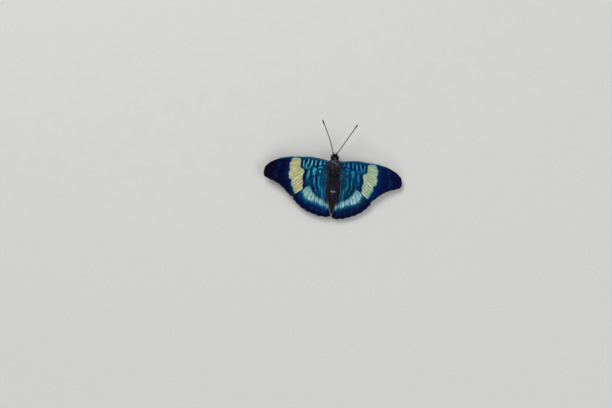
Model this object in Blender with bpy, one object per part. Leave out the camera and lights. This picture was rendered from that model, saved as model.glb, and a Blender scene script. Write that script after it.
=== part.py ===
# A procilla beauty butterfly (Panacea procilla), life size, at rest with its wings spread flat.
# +Y runs to the head, +X to the butterfly's right and +Z up. The feet stand on Z = 0.
# All sizes are in millimetres. They become metres when a mesh is made.

import math

import bmesh
import bpy
from mathutils import Matrix, Vector
from mathutils.geometry import delaunay_2d_cdt

MM = 0.001
GAP = 0.3
# Sideways room at a wing root, where the thorax leans away, that leaves GAP along its normal
ROOT_ROOM = 0.52

# Thorax: an egg cut flat where the head and the abdomen meet it
THORAX_HALF = Vector((3.3, 4.2, 3.0))
THORAX_Z = 5.5
THORAX_END = 3.65

# Abdomen: share of its length and half width there
ABDOMEN_LENGTH = 19.9
ABDOMEN_WIDTHS = ((0, 1.5), (0.15, 2.15), (0.35, 2.36), (0.6, 2.15), (0.8, 1.4), (0.93, 0.75), (1, 0.28))
ABDOMEN_FLATNESS = 0.9
ABDOMEN_DROP = 2.0
ABDOMEN_ROOM = 0.4
SEGMENTS = 8
SEGMENT_STEP = 0.05

# Head, eyes and mouth parts
HEAD_HALF = Vector((1.75, 1.75, 1.75))
HEAD_CENTRE = Vector((0, 5.6, 5.3))
NECK_RADIUS = 1.15
EYE_HALF = Vector((0.8, 1.25, 1.35))
EYE_CENTRE = Vector((1.45, 5.65, 5.35))
NECK_TURN = -48
FACE_TURN = 80
COIL_RADIUS = 0.8
COIL_THICKNESS = 0.44
COIL_TURNS = 0.92
COIL_PITCH = 0.56
COIL_START = 100
COIL_CENTRE = Vector((0, 6.55, 3.2))
COIL_ROOM = 0.6
PALP_PATH = (Vector((1.0, 6.75, 3.3)), Vector((0.95, 7.5, 4.1)), Vector((0.75, 7.95, 5.2)),
             Vector((0.6, 8.2, 6.2)))
PALP_RADII = ((0, 0.3), (0.3, 0.42), (0.7, 0.4), (1, 0.18))

# Antennae: direction of the root on the head, tip and the bend between them
ANTENNA_ROOT = Vector((0.38, 0.55, 0.74))
ANTENNA_RADIUS = 0.25
ANTENNA_RISE = 0.9
CLUB_RADIUS = 0.45
CLUB_LENGTH = 3.2
ANTENNA_TIPS = {"left": Vector((-7.65, 24.7, 9.6)), "right": Vector((10.8, 23.2, 9.2))}
ANTENNA_BENDS = {"left": Vector((-3.4, 15.2, 8.3)), "right": Vector((5.7, 15.0, 8.2))}

# Wings: membrane, veins and heights of the two layers at the root
MEMBRANE = 0.5
MARGIN_MEMBRANE = 0.4
VEIN_HEIGHT = 0.12
VEIN_HALF_WIDTH = 0.36
WING_STEP = 1.7
MEMBRANE_STEP = 3.3
HINGE = Vector((3.0, 0.0))
WING_REACH = 34.0
FORE_Z = 7.05
HIND_Z = 5.95
ARCH = 0.5

# How each side is held: degrees swept back, stretch seen from above, and droop in degrees at the
# front and at the back of the wing
POSES = {
    ("fore", "left"): (0.0, (1.0, 1.0)),
    ("fore", "right"): (4.0, (0.99, 0.96)),
    ("hind", "left"): (0.0, (1.0, 1.0)),
    ("hind", "right"): (1.0, (0.99, 1.03)),
}
DROOPS = {"left": (3.5, 7.0), "right": (7.5, 8.0)}

# Outlines and veins as seen from above on one side, x outward from the middle of the body
FORE_COSTA = ((3.5, 3.7), (7.7, 4.6), (13.0, 5.2), (19.3, 5.3), (24.5, 4.5), (28.7, 3.5), (33.2, 1.4))
FORE_APEX = ((35.8, -1.1), (36.5, -3.0), (36.6, -4.8), (36.1, -6.3))
FORE_MARGIN = ((33.4, -7.6), (29.8, -9.1), (26.6, -11.2), (23.9, -13.9), (21.8, -15.8))
FORE_BACK = ((19.7, -14.7), (15.2, -11.6), (10.2, -8.3), (6.0, -5.3), (2.9, -3.0))
FORE_VEINS = {
    "subcosta": ((2.9, 2.4), (9.0, 4.0), (15.0, 4.6), (21.0, 5.2)),
    "cell_front": ((2.9, 1.8), (8.0, 3.0), (13.0, 3.6), (17.2, 3.1)),
    "cell_back": ((2.9, 0.6), (8.0, 0.6), (13.0, -0.3), (16.2, -1.4)),
    "cell_end": ((17.2, 3.1), (17.3, 1.7), (17.0, 0.1), (16.2, -1.4)),
    "radius_1": ((13.6, 3.6), (19.5, 4.3), (24.5, 4.5)),
    "radius_2": ((17.0, 3.2), (22.5, 3.5), (28.7, 3.5)),
    "radius_5": ((17.2, 3.1), (25.0, 1.9), (31.5, -0.8), (36.6, -4.8)),
    "radius_3": ((24.5, 2.0), (29.0, 2.1), (33.2, 1.4)),
    "radius_4": ((28.5, 0.8), (32.5, 0.2), (35.8, -1.1)),
    "media_1": ((17.3, 1.7), (24.5, 0.0), (31.0, -3.0), (36.1, -6.3)),
    "media_2": ((17.0, 0.1), (23.5, -2.3), (28.5, -4.8), (33.4, -7.6)),
    "media_3": ((16.2, -1.4), (21.5, -4.3), (26.0, -6.8), (29.8, -9.1)),
    "cubitus_1": ((13.8, -0.6), (18.5, -4.6), (22.5, -7.9), (26.6, -11.2)),
    "cubitus_2": ((9.0, 0.5), (14.5, -4.8), (19.5, -9.8), (23.9, -13.9)),
    "anal": ((2.9, -0.6), (9.0, -4.4), (15.5, -9.9), (21.8, -15.8)),
}
HIND_COSTA = ((2.9, -0.9), (6.0, -1.2), (10.5, -3.8), (15.5, -7.8), (19.2, -11.6))
HIND_MARGIN = (
    (21.1, -15.4), (20.4, -17.4), (18.6, -19.4), (16.0, -21.6), (12.9, -23.3), (9.8, -24.5),
    (6.6, -25.5), (3.4, -25.8),
)
HIND_CORNER = ((1.4, -25.5), (0.5, -24.75))
HIND_SCALLOP = 0.25
HIND_VEINS = {
    "subcosta": ((2.9, -1.7), (9.0, -4.7), (16.0, -9.9), (21.1, -15.4)),
    "cell_front": ((2.9, -2.2), (6.2, -4.6), (9.6, -7.8)),
    "cell_back": ((2.9, -3.1), (5.0, -6.4), (7.2, -9.7), (8.9, -11.1)),
    "cell_end": ((9.6, -7.8), (9.9, -9.5), (8.9, -11.1)),
    "radius_sector": ((8.2, -6.5), (15.0, -12.0), (20.4, -17.4)),
    "media_1": ((9.6, -7.8), (14.5, -13.4), (18.6, -19.4)),
    "media_2": ((9.9, -9.5), (13.2, -15.5), (16.0, -21.6)),
    "media_3": ((8.9, -11.1), (11.3, -17.0), (12.9, -23.3)),
    "cubitus_1": ((7.9, -10.3), (9.3, -17.5), (9.8, -24.5)),
    "cubitus_2": ((5.9, -7.8), (6.9, -17.0), (6.6, -25.5)),
    "anal": ((2.9, -3.5), (4.4, -9.5), (4.7, -17.0), (3.4, -25.8)),
}

# Legs: direction of the root from the middle of the thorax, knee, ankle and end of the foot
FOOT_RADIUS = 0.26
FOOT_Z = 0.2
LEGS = {
    "midleg": (Vector((0.72, 0.12, -0.68)), Vector((4.5, 1.0, 3.9)), Vector((7.0, 2.0, FOOT_Z)),
               Vector((9.8, 3.0, FOOT_Z))),
    "hindleg": (Vector((0.66, -0.45, -0.6)), Vector((4.4, -4.6, 3.4)), Vector((6.3, -9.4, FOOT_Z)),
                Vector((7.4, -13.2, FOOT_Z))),
}
LEG_RADII = ((0, 0.42), (0.2, 0.45), (0.36, 0.27), (0.5, 0.3), (0.72, FOOT_RADIUS), (1, 0.22))
COXA = 0.7
FORELEG_ROOT = Vector((0.42, 0.62, -0.66))
FORELEG_PATH = (Vector((1.8, 4.5, 2.2)), Vector((1.75, 5.8, 2.2)), Vector((1.6, 6.9, 2.3)))
FORELEG_RADII = ((0, 0.35), (0.4, 0.38), (0.7, 0.3), (1, 0.16))

COLOURS = {
    "wing": ((0.01, 0.09, 0.16), 0.45, 0.0),
    "body": ((0.035, 0.025, 0.03), 0.8, 0.0),
    "limb": ((0.05, 0.03, 0.025), 0.6, 0.0),
    "eye": ((0.02, 0.01, 0.015), 0.15, 0.0),
}
SIDES = {"left": -1, "right": 1}


def clear_scene():
    for thing in list(bpy.data.objects):
        bpy.data.objects.remove(thing, do_unlink=True)


def material(kind):
    found = bpy.data.materials.get(kind)
    if found:
        return found
    made = bpy.data.materials.new(kind)
    made.use_nodes = True
    shader = made.node_tree.nodes["Principled BSDF"]
    colour, roughness, metallic = COLOURS[kind]
    shader.inputs["Base Color"].default_value = (*colour, 1)
    shader.inputs["Roughness"].default_value = roughness
    shader.inputs["Metallic"].default_value = metallic
    made.diffuse_color = (*colour, 1)
    return made


def make_object(name, vertices, faces, kind, smooth=True):
    mesh = bpy.data.meshes.new(name)
    mesh.from_pydata([Vector(v) * MM for v in vertices], [], faces)
    work = bmesh.new()
    work.from_mesh(mesh)
    bmesh.ops.recalc_face_normals(work, faces=work.faces)
    work.to_mesh(mesh)
    work.free()
    if smooth:
        mesh.shade_smooth()
        mesh.set_sharp_from_angle(angle=math.radians(40))
    mesh.materials.append(material(kind))
    made = bpy.data.objects.new(name, mesh)
    bpy.context.scene.collection.objects.link(made)
    return made


def value_at(stations, place):
    # A smooth curve through (place, value) stations
    for (a, left), (b, right) in zip(stations, stations[1:]):
        if place <= b:
            share = (place - a) / (b - a)
            share = share * share * (3 - 2 * share)
            return left + (right - left) * share
    return stations[-1][1]


def curve(points, step):
    # A Catmull-Rom curve through the points, cut about every step
    points = [Vector(p) for p in points]
    padded = [points[0] * 2 - points[1]] + points + [points[-1] * 2 - points[-2]]
    out = []
    for a, b, c, d in zip(padded, padded[1:], padded[2:], padded[3:]):
        count = max(1, round((c - b).length / step))
        for i in range(count):
            t = i / count
            out.append(
                0.5 * (2 * b + (c - a) * t + (2 * a - 5 * b + 4 * c - d) * t**2
                       + (3 * b - 3 * c + d - a) * t**3)
            )
    return out + [points[-1]]


def loft(name, rings, kind):
    # One closed body from rings of equal count, with a flat cap at each end
    count = len(rings[0])
    vertices = [point for ring in rings for point in ring]
    faces = []
    for row in range(len(rings) - 1):
        for i in range(count):
            j = (i + 1) % count
            a, b = row * count, (row + 1) * count
            faces.append((a + i, a + j, b + j, b + i))
    faces.append(tuple(range(count)))
    faces.append(tuple(reversed(range(len(vertices) - count, len(vertices)))))
    return make_object(name, vertices, faces, kind)


def ring(centre, side, up, count):
    turns = [math.tau * (i + 0.5) / count for i in range(count)]
    return [centre + side * math.sin(turn) - up * math.cos(turn) for turn in turns]


def tube(name, path, radii, kind, sides=8, floor=None):
    # A round rod along a path, its radius read from its share of the length, flat on the floor
    lengths = [0]
    for a, b in zip(path, path[1:]):
        lengths.append(lengths[-1] + (b - a).length)
    rings = []
    for i, point in enumerate(path):
        along = (path[min(i + 1, len(path) - 1)] - path[max(i - 1, 0)]).normalized()
        side = along.cross(Vector((0, 0, 1))).normalized()
        up = side.cross(along)
        radius = value_at(radii, lengths[i] / lengths[-1])
        points = ring(point, side * radius, up * radius, sides)
        if floor is not None:
            points = [Vector((p.x, p.y, max(p.z, floor))) for p in points]
        rings.append(points)
    return loft(name, rings, kind)


def mirrored(point, side):
    return Vector((point[0] * SIDES[side], *point[1:]))


def thorax_half_width(y, z):
    left = 1 - (y / THORAX_HALF.y) ** 2 - ((z - THORAX_Z) / THORAX_HALF.z) ** 2
    return THORAX_HALF.x * math.sqrt(max(left, 0))


def root_on(direction, half, centre):
    # A place one gap off an egg, on a ray from its middle, and the way its surface faces there
    scaled = Vector(d / h for d, h in zip(direction, half))
    point = direction / scaled.length
    normal = Vector(p / h**2 for p, h in zip(point, half)).normalized()
    return centre + point + normal * GAP, normal


def abdomen_start():
    return -THORAX_END - GAP


def abdomen_half_width(y):
    share = (abdomen_start() - y) / ABDOMEN_LENGTH
    if not 0 <= share <= 1:
        return 0
    return value_at(ABDOMEN_WIDTHS, share)


def abdomen_z(y):
    share = min(max((abdomen_start() - y) / ABDOMEN_LENGTH, 0), 1)
    return THORAX_Z - ABDOMEN_DROP * share**1.4


def build_thorax():
    rings = []
    last = math.asin(THORAX_END / THORAX_HALF.y)
    for i in range(13):
        turn = -last + 2 * last * i / 12
        size = math.cos(turn)
        centre = Vector((0, THORAX_HALF.y * math.sin(turn), THORAX_Z))
        rings.append(ring(centre, Vector((THORAX_HALF.x * size, 0, 0)),
                          Vector((0, 0, THORAX_HALF.z * size)), 20))
    loft("thorax", rings, "body")


def build_abdomen():
    # Each segment swells a little to its rear edge and the next one starts inside it
    rings = []
    for segment in range(SEGMENTS):
        for share, swell in ((0.0, -1), (0.45, 0.5), (0.96, 1)):
            place = (segment + share) / SEGMENTS
            if segment == 0 and share == 0:
                swell = 0
            y = abdomen_start() - ABDOMEN_LENGTH * place
            half = value_at(ABDOMEN_WIDTHS, place) + swell * SEGMENT_STEP
            rings.append(ring(Vector((0, y, abdomen_z(y))), Vector((half, 0, 0)),
                              Vector((0, 0, half * ABDOMEN_FLATNESS)), 20))
    loft("abdomen", rings, "body")


def cutter(name, mesh_object, target):
    mesh_object.name = name
    mesh_object.hide_render = True
    mesh_object.display_type = "WIRE"
    cut = target.modifiers.new(name, "BOOLEAN")
    cut.operation = "DIFFERENCE"
    cut.object = mesh_object


def egg(name, centre, half, kind, rings=9, sides=16):
    # A closed egg along Y with small flats at its two poles
    found = []
    for i in range(rings):
        turn = math.pi * (0.06 + 0.88 * i / (rings - 1))
        size = math.sin(turn)
        middle = centre + Vector((0, -half.y * math.cos(turn), 0))
        found.append(ring(middle, Vector((half.x * size, 0, 0)), Vector((0, 0, half.z * size)), sides))
    return loft(name, found, kind)


def block(name, low, high, kind):
    corners = [(x, y, z) for x in (low.x, high.x) for y in (low.y, high.y) for z in (low.z, high.z)]
    faces = [(0, 1, 3, 2), (4, 6, 7, 5), (0, 4, 5, 1), (2, 3, 7, 6), (0, 2, 6, 4), (1, 5, 7, 3)]
    return make_object(name, corners, faces, kind, smooth=False)


def build_head():
    # A ball with a short neck, with hollows that the eyes and the coiled proboscis sit in
    neck = Vector((0, THORAX_END + GAP, THORAX_Z))
    rings = [ring(neck, Vector((NECK_RADIUS, 0, 0)), Vector((0, 0, NECK_RADIUS)), 20)]
    for i in range(11):
        turn = math.radians(NECK_TURN + (FACE_TURN - NECK_TURN) * i / 10)
        across = HEAD_HALF.x * math.cos(turn)
        height = HEAD_HALF.z * math.cos(turn)
        centre = HEAD_CENTRE + Vector((0, HEAD_HALF.y * math.sin(turn), 0))
        rings.append(ring(centre, Vector((across, 0, 0)), Vector((0, 0, height)), 20))
    head = loft("head", rings, "body")
    grown = EYE_HALF + Vector((GAP, GAP, GAP))
    for side in SIDES:
        cutter("cut_eye_" + side, egg("cut", mirrored(EYE_CENTRE, side), grown, "eye", 11, 20), head)
    half = COIL_THICKNESS / 2 + GAP
    low = Vector((-half, COIL_CENTRE.y - COIL_RADIUS - COIL_ROOM, 0))
    high = Vector((half, HEAD_CENTRE.y + 2 * HEAD_HALF.y, COIL_CENTRE.z + COIL_RADIUS + half))
    cutter("cut_proboscis", block("cut", low, high, "body"), head)


def build_eyes():
    for side in SIDES:
        egg("eye_" + side, mirrored(EYE_CENTRE, side), EYE_HALF, "eye")


def build_proboscis():
    # The coiled proboscis, one open turn of it
    count = 16
    path = []
    for i in range(count + 1):
        turns = COIL_TURNS * i / count
        radius = COIL_RADIUS - COIL_PITCH * turns
        turn = math.radians(COIL_START) - math.tau * turns
        path.append(COIL_CENTRE + Vector((0, -radius * math.cos(turn), radius * math.sin(turn))))
    rings = []
    for i, point in enumerate(path):
        outward = (point - COIL_CENTRE).normalized()
        half = COIL_THICKNESS / 2 * (1 - 0.2 * i / count)
        rings.append(ring(point, Vector((half, 0, 0)), outward * half, 8))
    loft("proboscis", rings, "limb")


def build_antennae():
    place, normal = root_on(ANTENNA_ROOT, HEAD_HALF, HEAD_CENTRE)
    for side in SIDES:
        root = mirrored(place, side)
        rise = mirrored(normal, side) * ANTENNA_RISE
        path = curve((root, root + rise, ANTENNA_BENDS[side], ANTENNA_TIPS[side]), 1.1)
        club = 1 - CLUB_LENGTH / (ANTENNA_TIPS[side] - root).length
        radii = ((0, ANTENNA_RADIUS + 0.1), (0.05, ANTENNA_RADIUS), (club, ANTENNA_RADIUS),
                 (club + (1 - club) * 0.6, CLUB_RADIUS), (1, 0.2))
        tube("antenna_" + side, path, radii, "limb")


def build_palps():
    for side in SIDES:
        path = [mirrored(p, side) for p in PALP_PATH]
        tube("palp_" + side, curve(path, 0.45), PALP_RADII, "body")


def build_legs():
    middle = Vector((0, 0, THORAX_Z))
    for name, (direction, knee, ankle, end) in LEGS.items():
        root, normal = root_on(direction, THORAX_HALF, middle)
        path = curve((root, root + normal * COXA, knee, ankle.lerp(knee, 0.12), ankle, end), 1.0)
        path = [Vector((p.x, p.y, max(p.z, FOOT_Z))) for p in path]
        for side in SIDES:
            tube(f"{name}_{side}", [mirrored(p, side) for p in path], LEG_RADII, "limb", floor=0)
    root, normal = root_on(FORELEG_ROOT, THORAX_HALF, middle)
    path = curve((root, root + normal * COXA, *FORELEG_PATH), 0.9)
    for side in SIDES:
        tube("foreleg_" + side, [mirrored(p, side) for p in path], FORELEG_RADII, "limb")


def wing_point(layer, side, point, lift):
    # From the plan of one side to its place in the pose
    swept, stretch = POSES[layer, side]
    turn = Matrix.Rotation(-math.radians(swept), 2)
    flat = turn @ (Vector(point[:2]) - HINGE)
    flat = Vector((flat.x * stretch[0], flat.y * stretch[1]))
    reach = flat.length
    back = min(max(math.atan2(-flat.y, flat.x) / (math.pi / 2), 0), 1)
    front_droop, back_droop = DROOPS[side]
    droop = math.radians(front_droop + (back_droop - front_droop) * back)
    base = FORE_Z if layer == "fore" else HIND_Z
    z = base - reach * math.sin(droop) + ARCH * math.sin(math.pi * min(reach / WING_REACH, 1)) + lift
    x, y = HINGE + flat
    if thorax_half_width(y, z):
        x = max(x, thorax_half_width(y, z) + ROOT_ROOM)
    if layer == "hind" and abdomen_half_width(y):
        x = max(x, abdomen_half_width(y) + SEGMENT_STEP + ABDOMEN_ROOM)
    return Vector((x * SIDES[side], y, z))


def scalloped(points, depth):
    # Vein ends stand out a little, and the margin dips between them
    out = [Vector(points[0])]
    for a, b in zip(points, points[1:]):
        a, b = Vector(a), Vector(b)
        inward = Vector(((b - a).y, -(b - a).x)).normalized()
        out += [(a + b) / 2 + inward * depth, b]
    return out


def near_segment(point, a, b):
    along = b - a
    share = min(max((point - a).dot(along) / along.length_squared, 0), 1)
    return (point - a - along * share).length


class Net:
    # The points and edges of one wing seen from above
    def __init__(self, outline):
        self.points = list(outline)
        self.edge = len(outline)
        self.edges = [(i, (i + 1) % self.edge) for i in range(self.edge)]
        self.veins = []

    def nearest(self, point, within):
        found = min(range(len(self.points)), key=lambda i: (self.points[i] - point).length)
        return found if (self.points[found] - point).length < within else None

    def add(self, point, room):
        found = self.nearest(point, room)
        if found is None:
            self.points.append(point)
            return len(self.points) - 1
        return found

    def vein(self, points):
        path = curve(points, WING_STEP)
        last = None
        for i, point in enumerate(path):
            ends = i in (0, len(path) - 1)
            here = self.add(point, 1.0 if ends else 0.55)
            if last is not None and here != last:
                self.edges.append((last, here))
                self.veins.append((self.points[last], self.points[here]))
            last = here

    def from_vein(self, point):
        return min(near_segment(point, a, b) for a, b in self.veins)

    def inside(self, point):
        hit = False
        for i in range(self.edge):
            a, b = self.points[i], self.points[(i + 1) % self.edge]
            if (a.y > point.y) != (b.y > point.y):
                if point.x < a.x + (point.y - a.y) / (b.y - a.y) * (b.x - a.x):
                    hit = not hit
        return hit

    def from_margin(self, point):
        return min(
            near_segment(point, self.points[i], self.points[(i + 1) % self.edge]) for i in range(self.edge)
        )

    def flank_veins(self):
        # A row of points along each side of a vein, where its ridge runs out
        for a, b in list(self.veins):
            middle = (a + b) / 2
            across = Vector(((b - a).y, -(b - a).x)).normalized() * VEIN_HALF_WIDTH
            for point in (middle + across, middle - across):
                clear = self.nearest(point, VEIN_HALF_WIDTH * 0.8) is None
                if clear and self.inside(point) and self.from_margin(point) > 0.4:
                    if self.from_vein(point) > VEIN_HALF_WIDTH * 0.8:
                        self.points.append(point)

    def fill(self):
        rows = int(40 / MEMBRANE_STEP)
        for row in range(rows):
            for column in range(rows):
                x = column * MEMBRANE_STEP + (row % 2) * MEMBRANE_STEP / 2
                point = Vector((x, 8 - row * MEMBRANE_STEP * 0.87))
                if self.inside(point) and self.from_margin(point) > 0.9:
                    if self.nearest(point, MEMBRANE_STEP * 0.45) is None:
                        self.points.append(point)


def build_wing(layer, side, outline, veins):
    net = Net(outline)
    for points in veins.values():
        net.vein(points)
    net.flank_veins()
    net.fill()
    points, _, triangles, *_ = delaunay_2d_cdt(
        net.points, net.edges, [tuple(range(net.edge))], 1, 0.0001, False
    )
    triangles = [t for t in triangles if net.inside(sum((points[i] for i in t), Vector((0, 0))) / 3)]
    margin = {}
    for triangle in triangles:
        for a, b in zip(triangle, (*triangle[1:], triangle[0])):
            if (b, a) in margin:
                del margin[b, a]
            else:
                margin[a, b] = True
    rim = {i for edge in margin for i in edge}
    vertices = []
    for way in (1, -1):
        for i, point in enumerate(points):
            ridge = VEIN_HEIGHT * max(0, 1 - net.from_vein(point) / VEIN_HALF_WIDTH)
            half = (MARGIN_MEMBRANE if i in rim else MEMBRANE) / 2
            vertices.append(wing_point(layer, side, point, way * (half + ridge)))
    count = len(points)
    faces = [tuple(t) for t in triangles]
    faces += [tuple(count + i for i in reversed(t)) for t in triangles]
    faces += [(b, a, count + a) for a, b in margin]
    faces += [(b, count + a, count + b) for a, b in margin]
    return make_object(f"{layer}wing_{side}", vertices, faces, "wing")


def fore_outline():
    root = [(1.9, 2.9)]
    loop = root + list(FORE_COSTA) + list(FORE_APEX) + list(FORE_MARGIN) + list(FORE_BACK)
    points = curve(loop, WING_STEP)
    inner = [Vector((thorax_half_width(y, FORE_Z) + ROOT_ROOM, y)) for y in (-1.6, -0.2, 1.2)]
    return points + inner


def hind_outline():
    start = list(HIND_COSTA) + scalloped(HIND_MARGIN, HIND_SCALLOP) + list(HIND_CORNER)
    points = curve(start, WING_STEP)
    inner = []
    for share in (0.94, 0.84, 0.72, 0.58, 0.44, 0.3, 0.16, 0.05):
        y = abdomen_start() - ABDOMEN_LENGTH * share
        inner.append(Vector((abdomen_half_width(y) + SEGMENT_STEP + ABDOMEN_ROOM, y)))
    root = [Vector((thorax_half_width(y, HIND_Z) + ROOT_ROOM, y)) for y in (-3.3, -2.2)]
    return points + inner + root


def build_wings():
    for side in SIDES:
        build_wing("fore", side, fore_outline(), FORE_VEINS)
        build_wing("hind", side, hind_outline(), HIND_VEINS)


def centre_on_origin():
    # The middle of the whole in X and Y comes to the origin, by one empty that carries every piece
    bpy.context.view_layer.update()
    pieces = [thing for thing in bpy.data.objects if thing.type == "MESH"]
    shown = [thing for thing in pieces if not thing.hide_render]
    corners = [v.co for thing in shown for v in thing.data.vertices]
    middle = [(min(c[i] for c in corners) + max(c[i] for c in corners)) / 2 for i in range(2)]
    holder = bpy.data.objects.new("butterfly", None)
    bpy.context.scene.collection.objects.link(holder)
    holder.location = (-middle[0], -middle[1], 0)
    for thing in pieces:
        thing.parent = holder


clear_scene()
build_thorax()
build_abdomen()
build_head()
build_eyes()
build_proboscis()
build_palps()
build_antennae()
build_legs()
build_wings()
centre_on_origin()
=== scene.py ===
import math

import bpy
import numpy as np
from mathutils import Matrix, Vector
from mathutils.geometry import delaunay_2d_cdt


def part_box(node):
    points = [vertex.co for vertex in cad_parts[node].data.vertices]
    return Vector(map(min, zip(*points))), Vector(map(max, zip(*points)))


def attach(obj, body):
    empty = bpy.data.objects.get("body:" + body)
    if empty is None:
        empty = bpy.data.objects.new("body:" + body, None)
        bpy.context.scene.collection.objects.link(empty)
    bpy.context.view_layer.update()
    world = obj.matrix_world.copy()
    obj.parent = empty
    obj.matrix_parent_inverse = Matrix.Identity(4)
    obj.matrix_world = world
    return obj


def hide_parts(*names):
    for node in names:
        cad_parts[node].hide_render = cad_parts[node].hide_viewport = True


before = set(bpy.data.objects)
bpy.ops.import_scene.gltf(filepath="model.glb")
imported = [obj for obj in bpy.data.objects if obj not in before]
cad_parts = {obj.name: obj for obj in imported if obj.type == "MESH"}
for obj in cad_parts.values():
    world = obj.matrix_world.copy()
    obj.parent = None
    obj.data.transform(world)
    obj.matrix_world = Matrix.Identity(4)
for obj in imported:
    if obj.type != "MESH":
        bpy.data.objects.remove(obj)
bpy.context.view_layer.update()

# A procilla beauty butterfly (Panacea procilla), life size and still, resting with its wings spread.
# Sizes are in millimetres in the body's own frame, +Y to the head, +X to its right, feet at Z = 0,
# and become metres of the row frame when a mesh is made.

mm = 0.001
thoraxLow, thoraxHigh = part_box("thorax")
bodyMiddle = np.array(((thoraxLow.x + thoraxHigh.x) / 2, (thoraxLow.y + thoraxHigh.y) / 2, 0.0))
sides = {"left": -1, "right": 1}


def report(words):
    print("scene:", words)


def unit(vectors):
    return vectors / np.maximum(np.linalg.norm(vectors, axis=1), 1e-9)[:, None]


def between(pair, share):
    return pair[0] + (pair[1] - pair[0]) * share


def taper(away, edge):
    # What is left this far from an edge, by the width over which it tapers and the least of it
    width, least = edge
    return np.clip(away / width, least, 1)


def smoothCurve(points, step):
    # A Catmull-Rom curve through the points, cut about every step
    points = [np.array(p, float) for p in points]
    padded = [2 * points[0] - points[1]] + points + [2 * points[-1] - points[-2]]
    out = []
    for a, b, c, d in zip(padded, padded[1:], padded[2:], padded[3:]):
        count = max(1, round(float(np.linalg.norm(c - b)) / step))
        t = (np.arange(count) / count)[:, None]
        out.append(0.5 * (2 * b + (c - a) * t + (2 * a - 5 * b + 4 * c - d) * t**2
                          + (3 * b - 3 * c + d - a) * t**3))
    return np.vstack(out + [points[-1][None]])


def valueAt(stations, places):
    # A smooth curve through (place, value) stations
    at, value = np.array(stations, float).T
    places = np.clip(places, at[0], at[-1])
    i = np.clip(np.searchsorted(at, places) - 1, 0, len(at) - 2)
    share = (places - at[i]) / (at[i + 1] - at[i])
    share = share * share * (3 - 2 * share)
    return value[i] + (value[i + 1] - value[i]) * share


def fromPath(points, path):
    # Distance from each point to the nearest place on a path
    best = np.full(len(points), 1e9)
    for a, b in zip(path[:-1], path[1:]):
        along = b - a
        share = np.clip((points - a) @ along / max(float(along @ along), 1e-12), 0, 1)
        away = points - a - share[:, None] * along
        best = np.minimum(best, np.einsum("ij,ij->i", away, away))
    return np.sqrt(best)


def fromPaths(points, paths):
    return np.min([fromPath(points, path) for path in paths], 0)


def fromLoop(points, loop):
    return fromPath(points, np.vstack((loop, loop[:1])))


def insideLoop(points, loop):
    hit = np.zeros(len(points), bool)
    x, y = points.T
    for a, b in zip(loop, np.roll(loop, -1, 0)):
        if a[1] != b[1]:
            crosses = (a[1] > y) != (b[1] > y)
            hit ^= crosses & (x < a[0] + (y - a[1]) / (b[1] - a[1]) * (b[0] - a[0]))
    return hit


def leftOf(path):
    # The way to the left at each point of a flat path
    along = np.gradient(path, axis=0)
    return unit(np.column_stack((-along[:, 1], along[:, 0])))


def lengthsOf(path):
    # How far along a path each of its points lies
    return np.concatenate(((0,), np.cumsum(np.linalg.norm(np.diff(path, axis=0), axis=1))))


def choose(*things):
    # Select these and nothing else
    bpy.ops.object.select_all(action="DESELECT")
    for thing in things:
        thing.select_set(True)
    if things:
        bpy.context.view_layer.objects.active = things[0]


def keepVectors(mesh, name, values):
    # Three numbers at each point of a mesh, for its finish to read
    made = mesh.attributes.new(name, "FLOAT_VECTOR", "POINT")
    made.data.foreach_set("vector", np.asarray(values, np.float32).ravel())


def meshPiece(name, vertices, faces, finishes, attributes, uv, faceFinish=None):
    # One mesh from body-frame millimetres, with its attributes, UV map and finishes
    mesh = bpy.data.meshes.new(name)
    mesh.from_pydata((bodyMiddle + vertices * mm).tolist(), [], faces.tolist())
    for key, values in attributes.items():
        keepVectors(mesh, key, values)
    for finish in finishes:
        mesh.materials.append(finish.material)
    if faceFinish is not None:
        mesh.polygons.foreach_set("material_index", faceFinish.astype(np.int32))
    mesh.uv_layers.new(name="OFBake").data.foreach_set("uv", uv.astype(np.float32).ravel())
    mesh.shade_smooth()
    mesh.update()
    piece = bpy.data.objects.new(name, mesh)
    bpy.context.scene.collection.objects.link(piece)
    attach(piece, "root")
    return piece


class Link:
    # One output socket. Sums on it add Math nodes.
    def __init__(self, finish, socket):
        self.finish = finish
        self.socket = socket

    def math(self, operation, *values):
        # A Math node on the values, or on this one alone
        return self.finish.node("Math", {"operation": operation}, dict(enumerate(values or (self,))))

    __add__ = lambda self, other: self.math("ADD", self, other)
    __radd__ = lambda self, other: self.math("ADD", other, self)
    __sub__ = lambda self, other: self.math("SUBTRACT", self, other)
    __rsub__ = lambda self, other: self.math("SUBTRACT", other, self)
    __mul__ = lambda self, other: self.math("MULTIPLY", self, other)
    __rmul__ = lambda self, other: self.math("MULTIPLY", other, self)
    __truediv__ = lambda self, other: self.math("DIVIDE", self, other)
    __rtruediv__ = lambda self, other: self.math("DIVIDE", other, self)


def tint(red, green, blue):
    # A screen colour as the shader's light values
    def light(value):
        value /= 255
        return value / 12.92 if value <= 0.04045 else ((value + 0.055) / 1.055) ** 2.4
    return (light(red), light(green), light(blue), 1)


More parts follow.
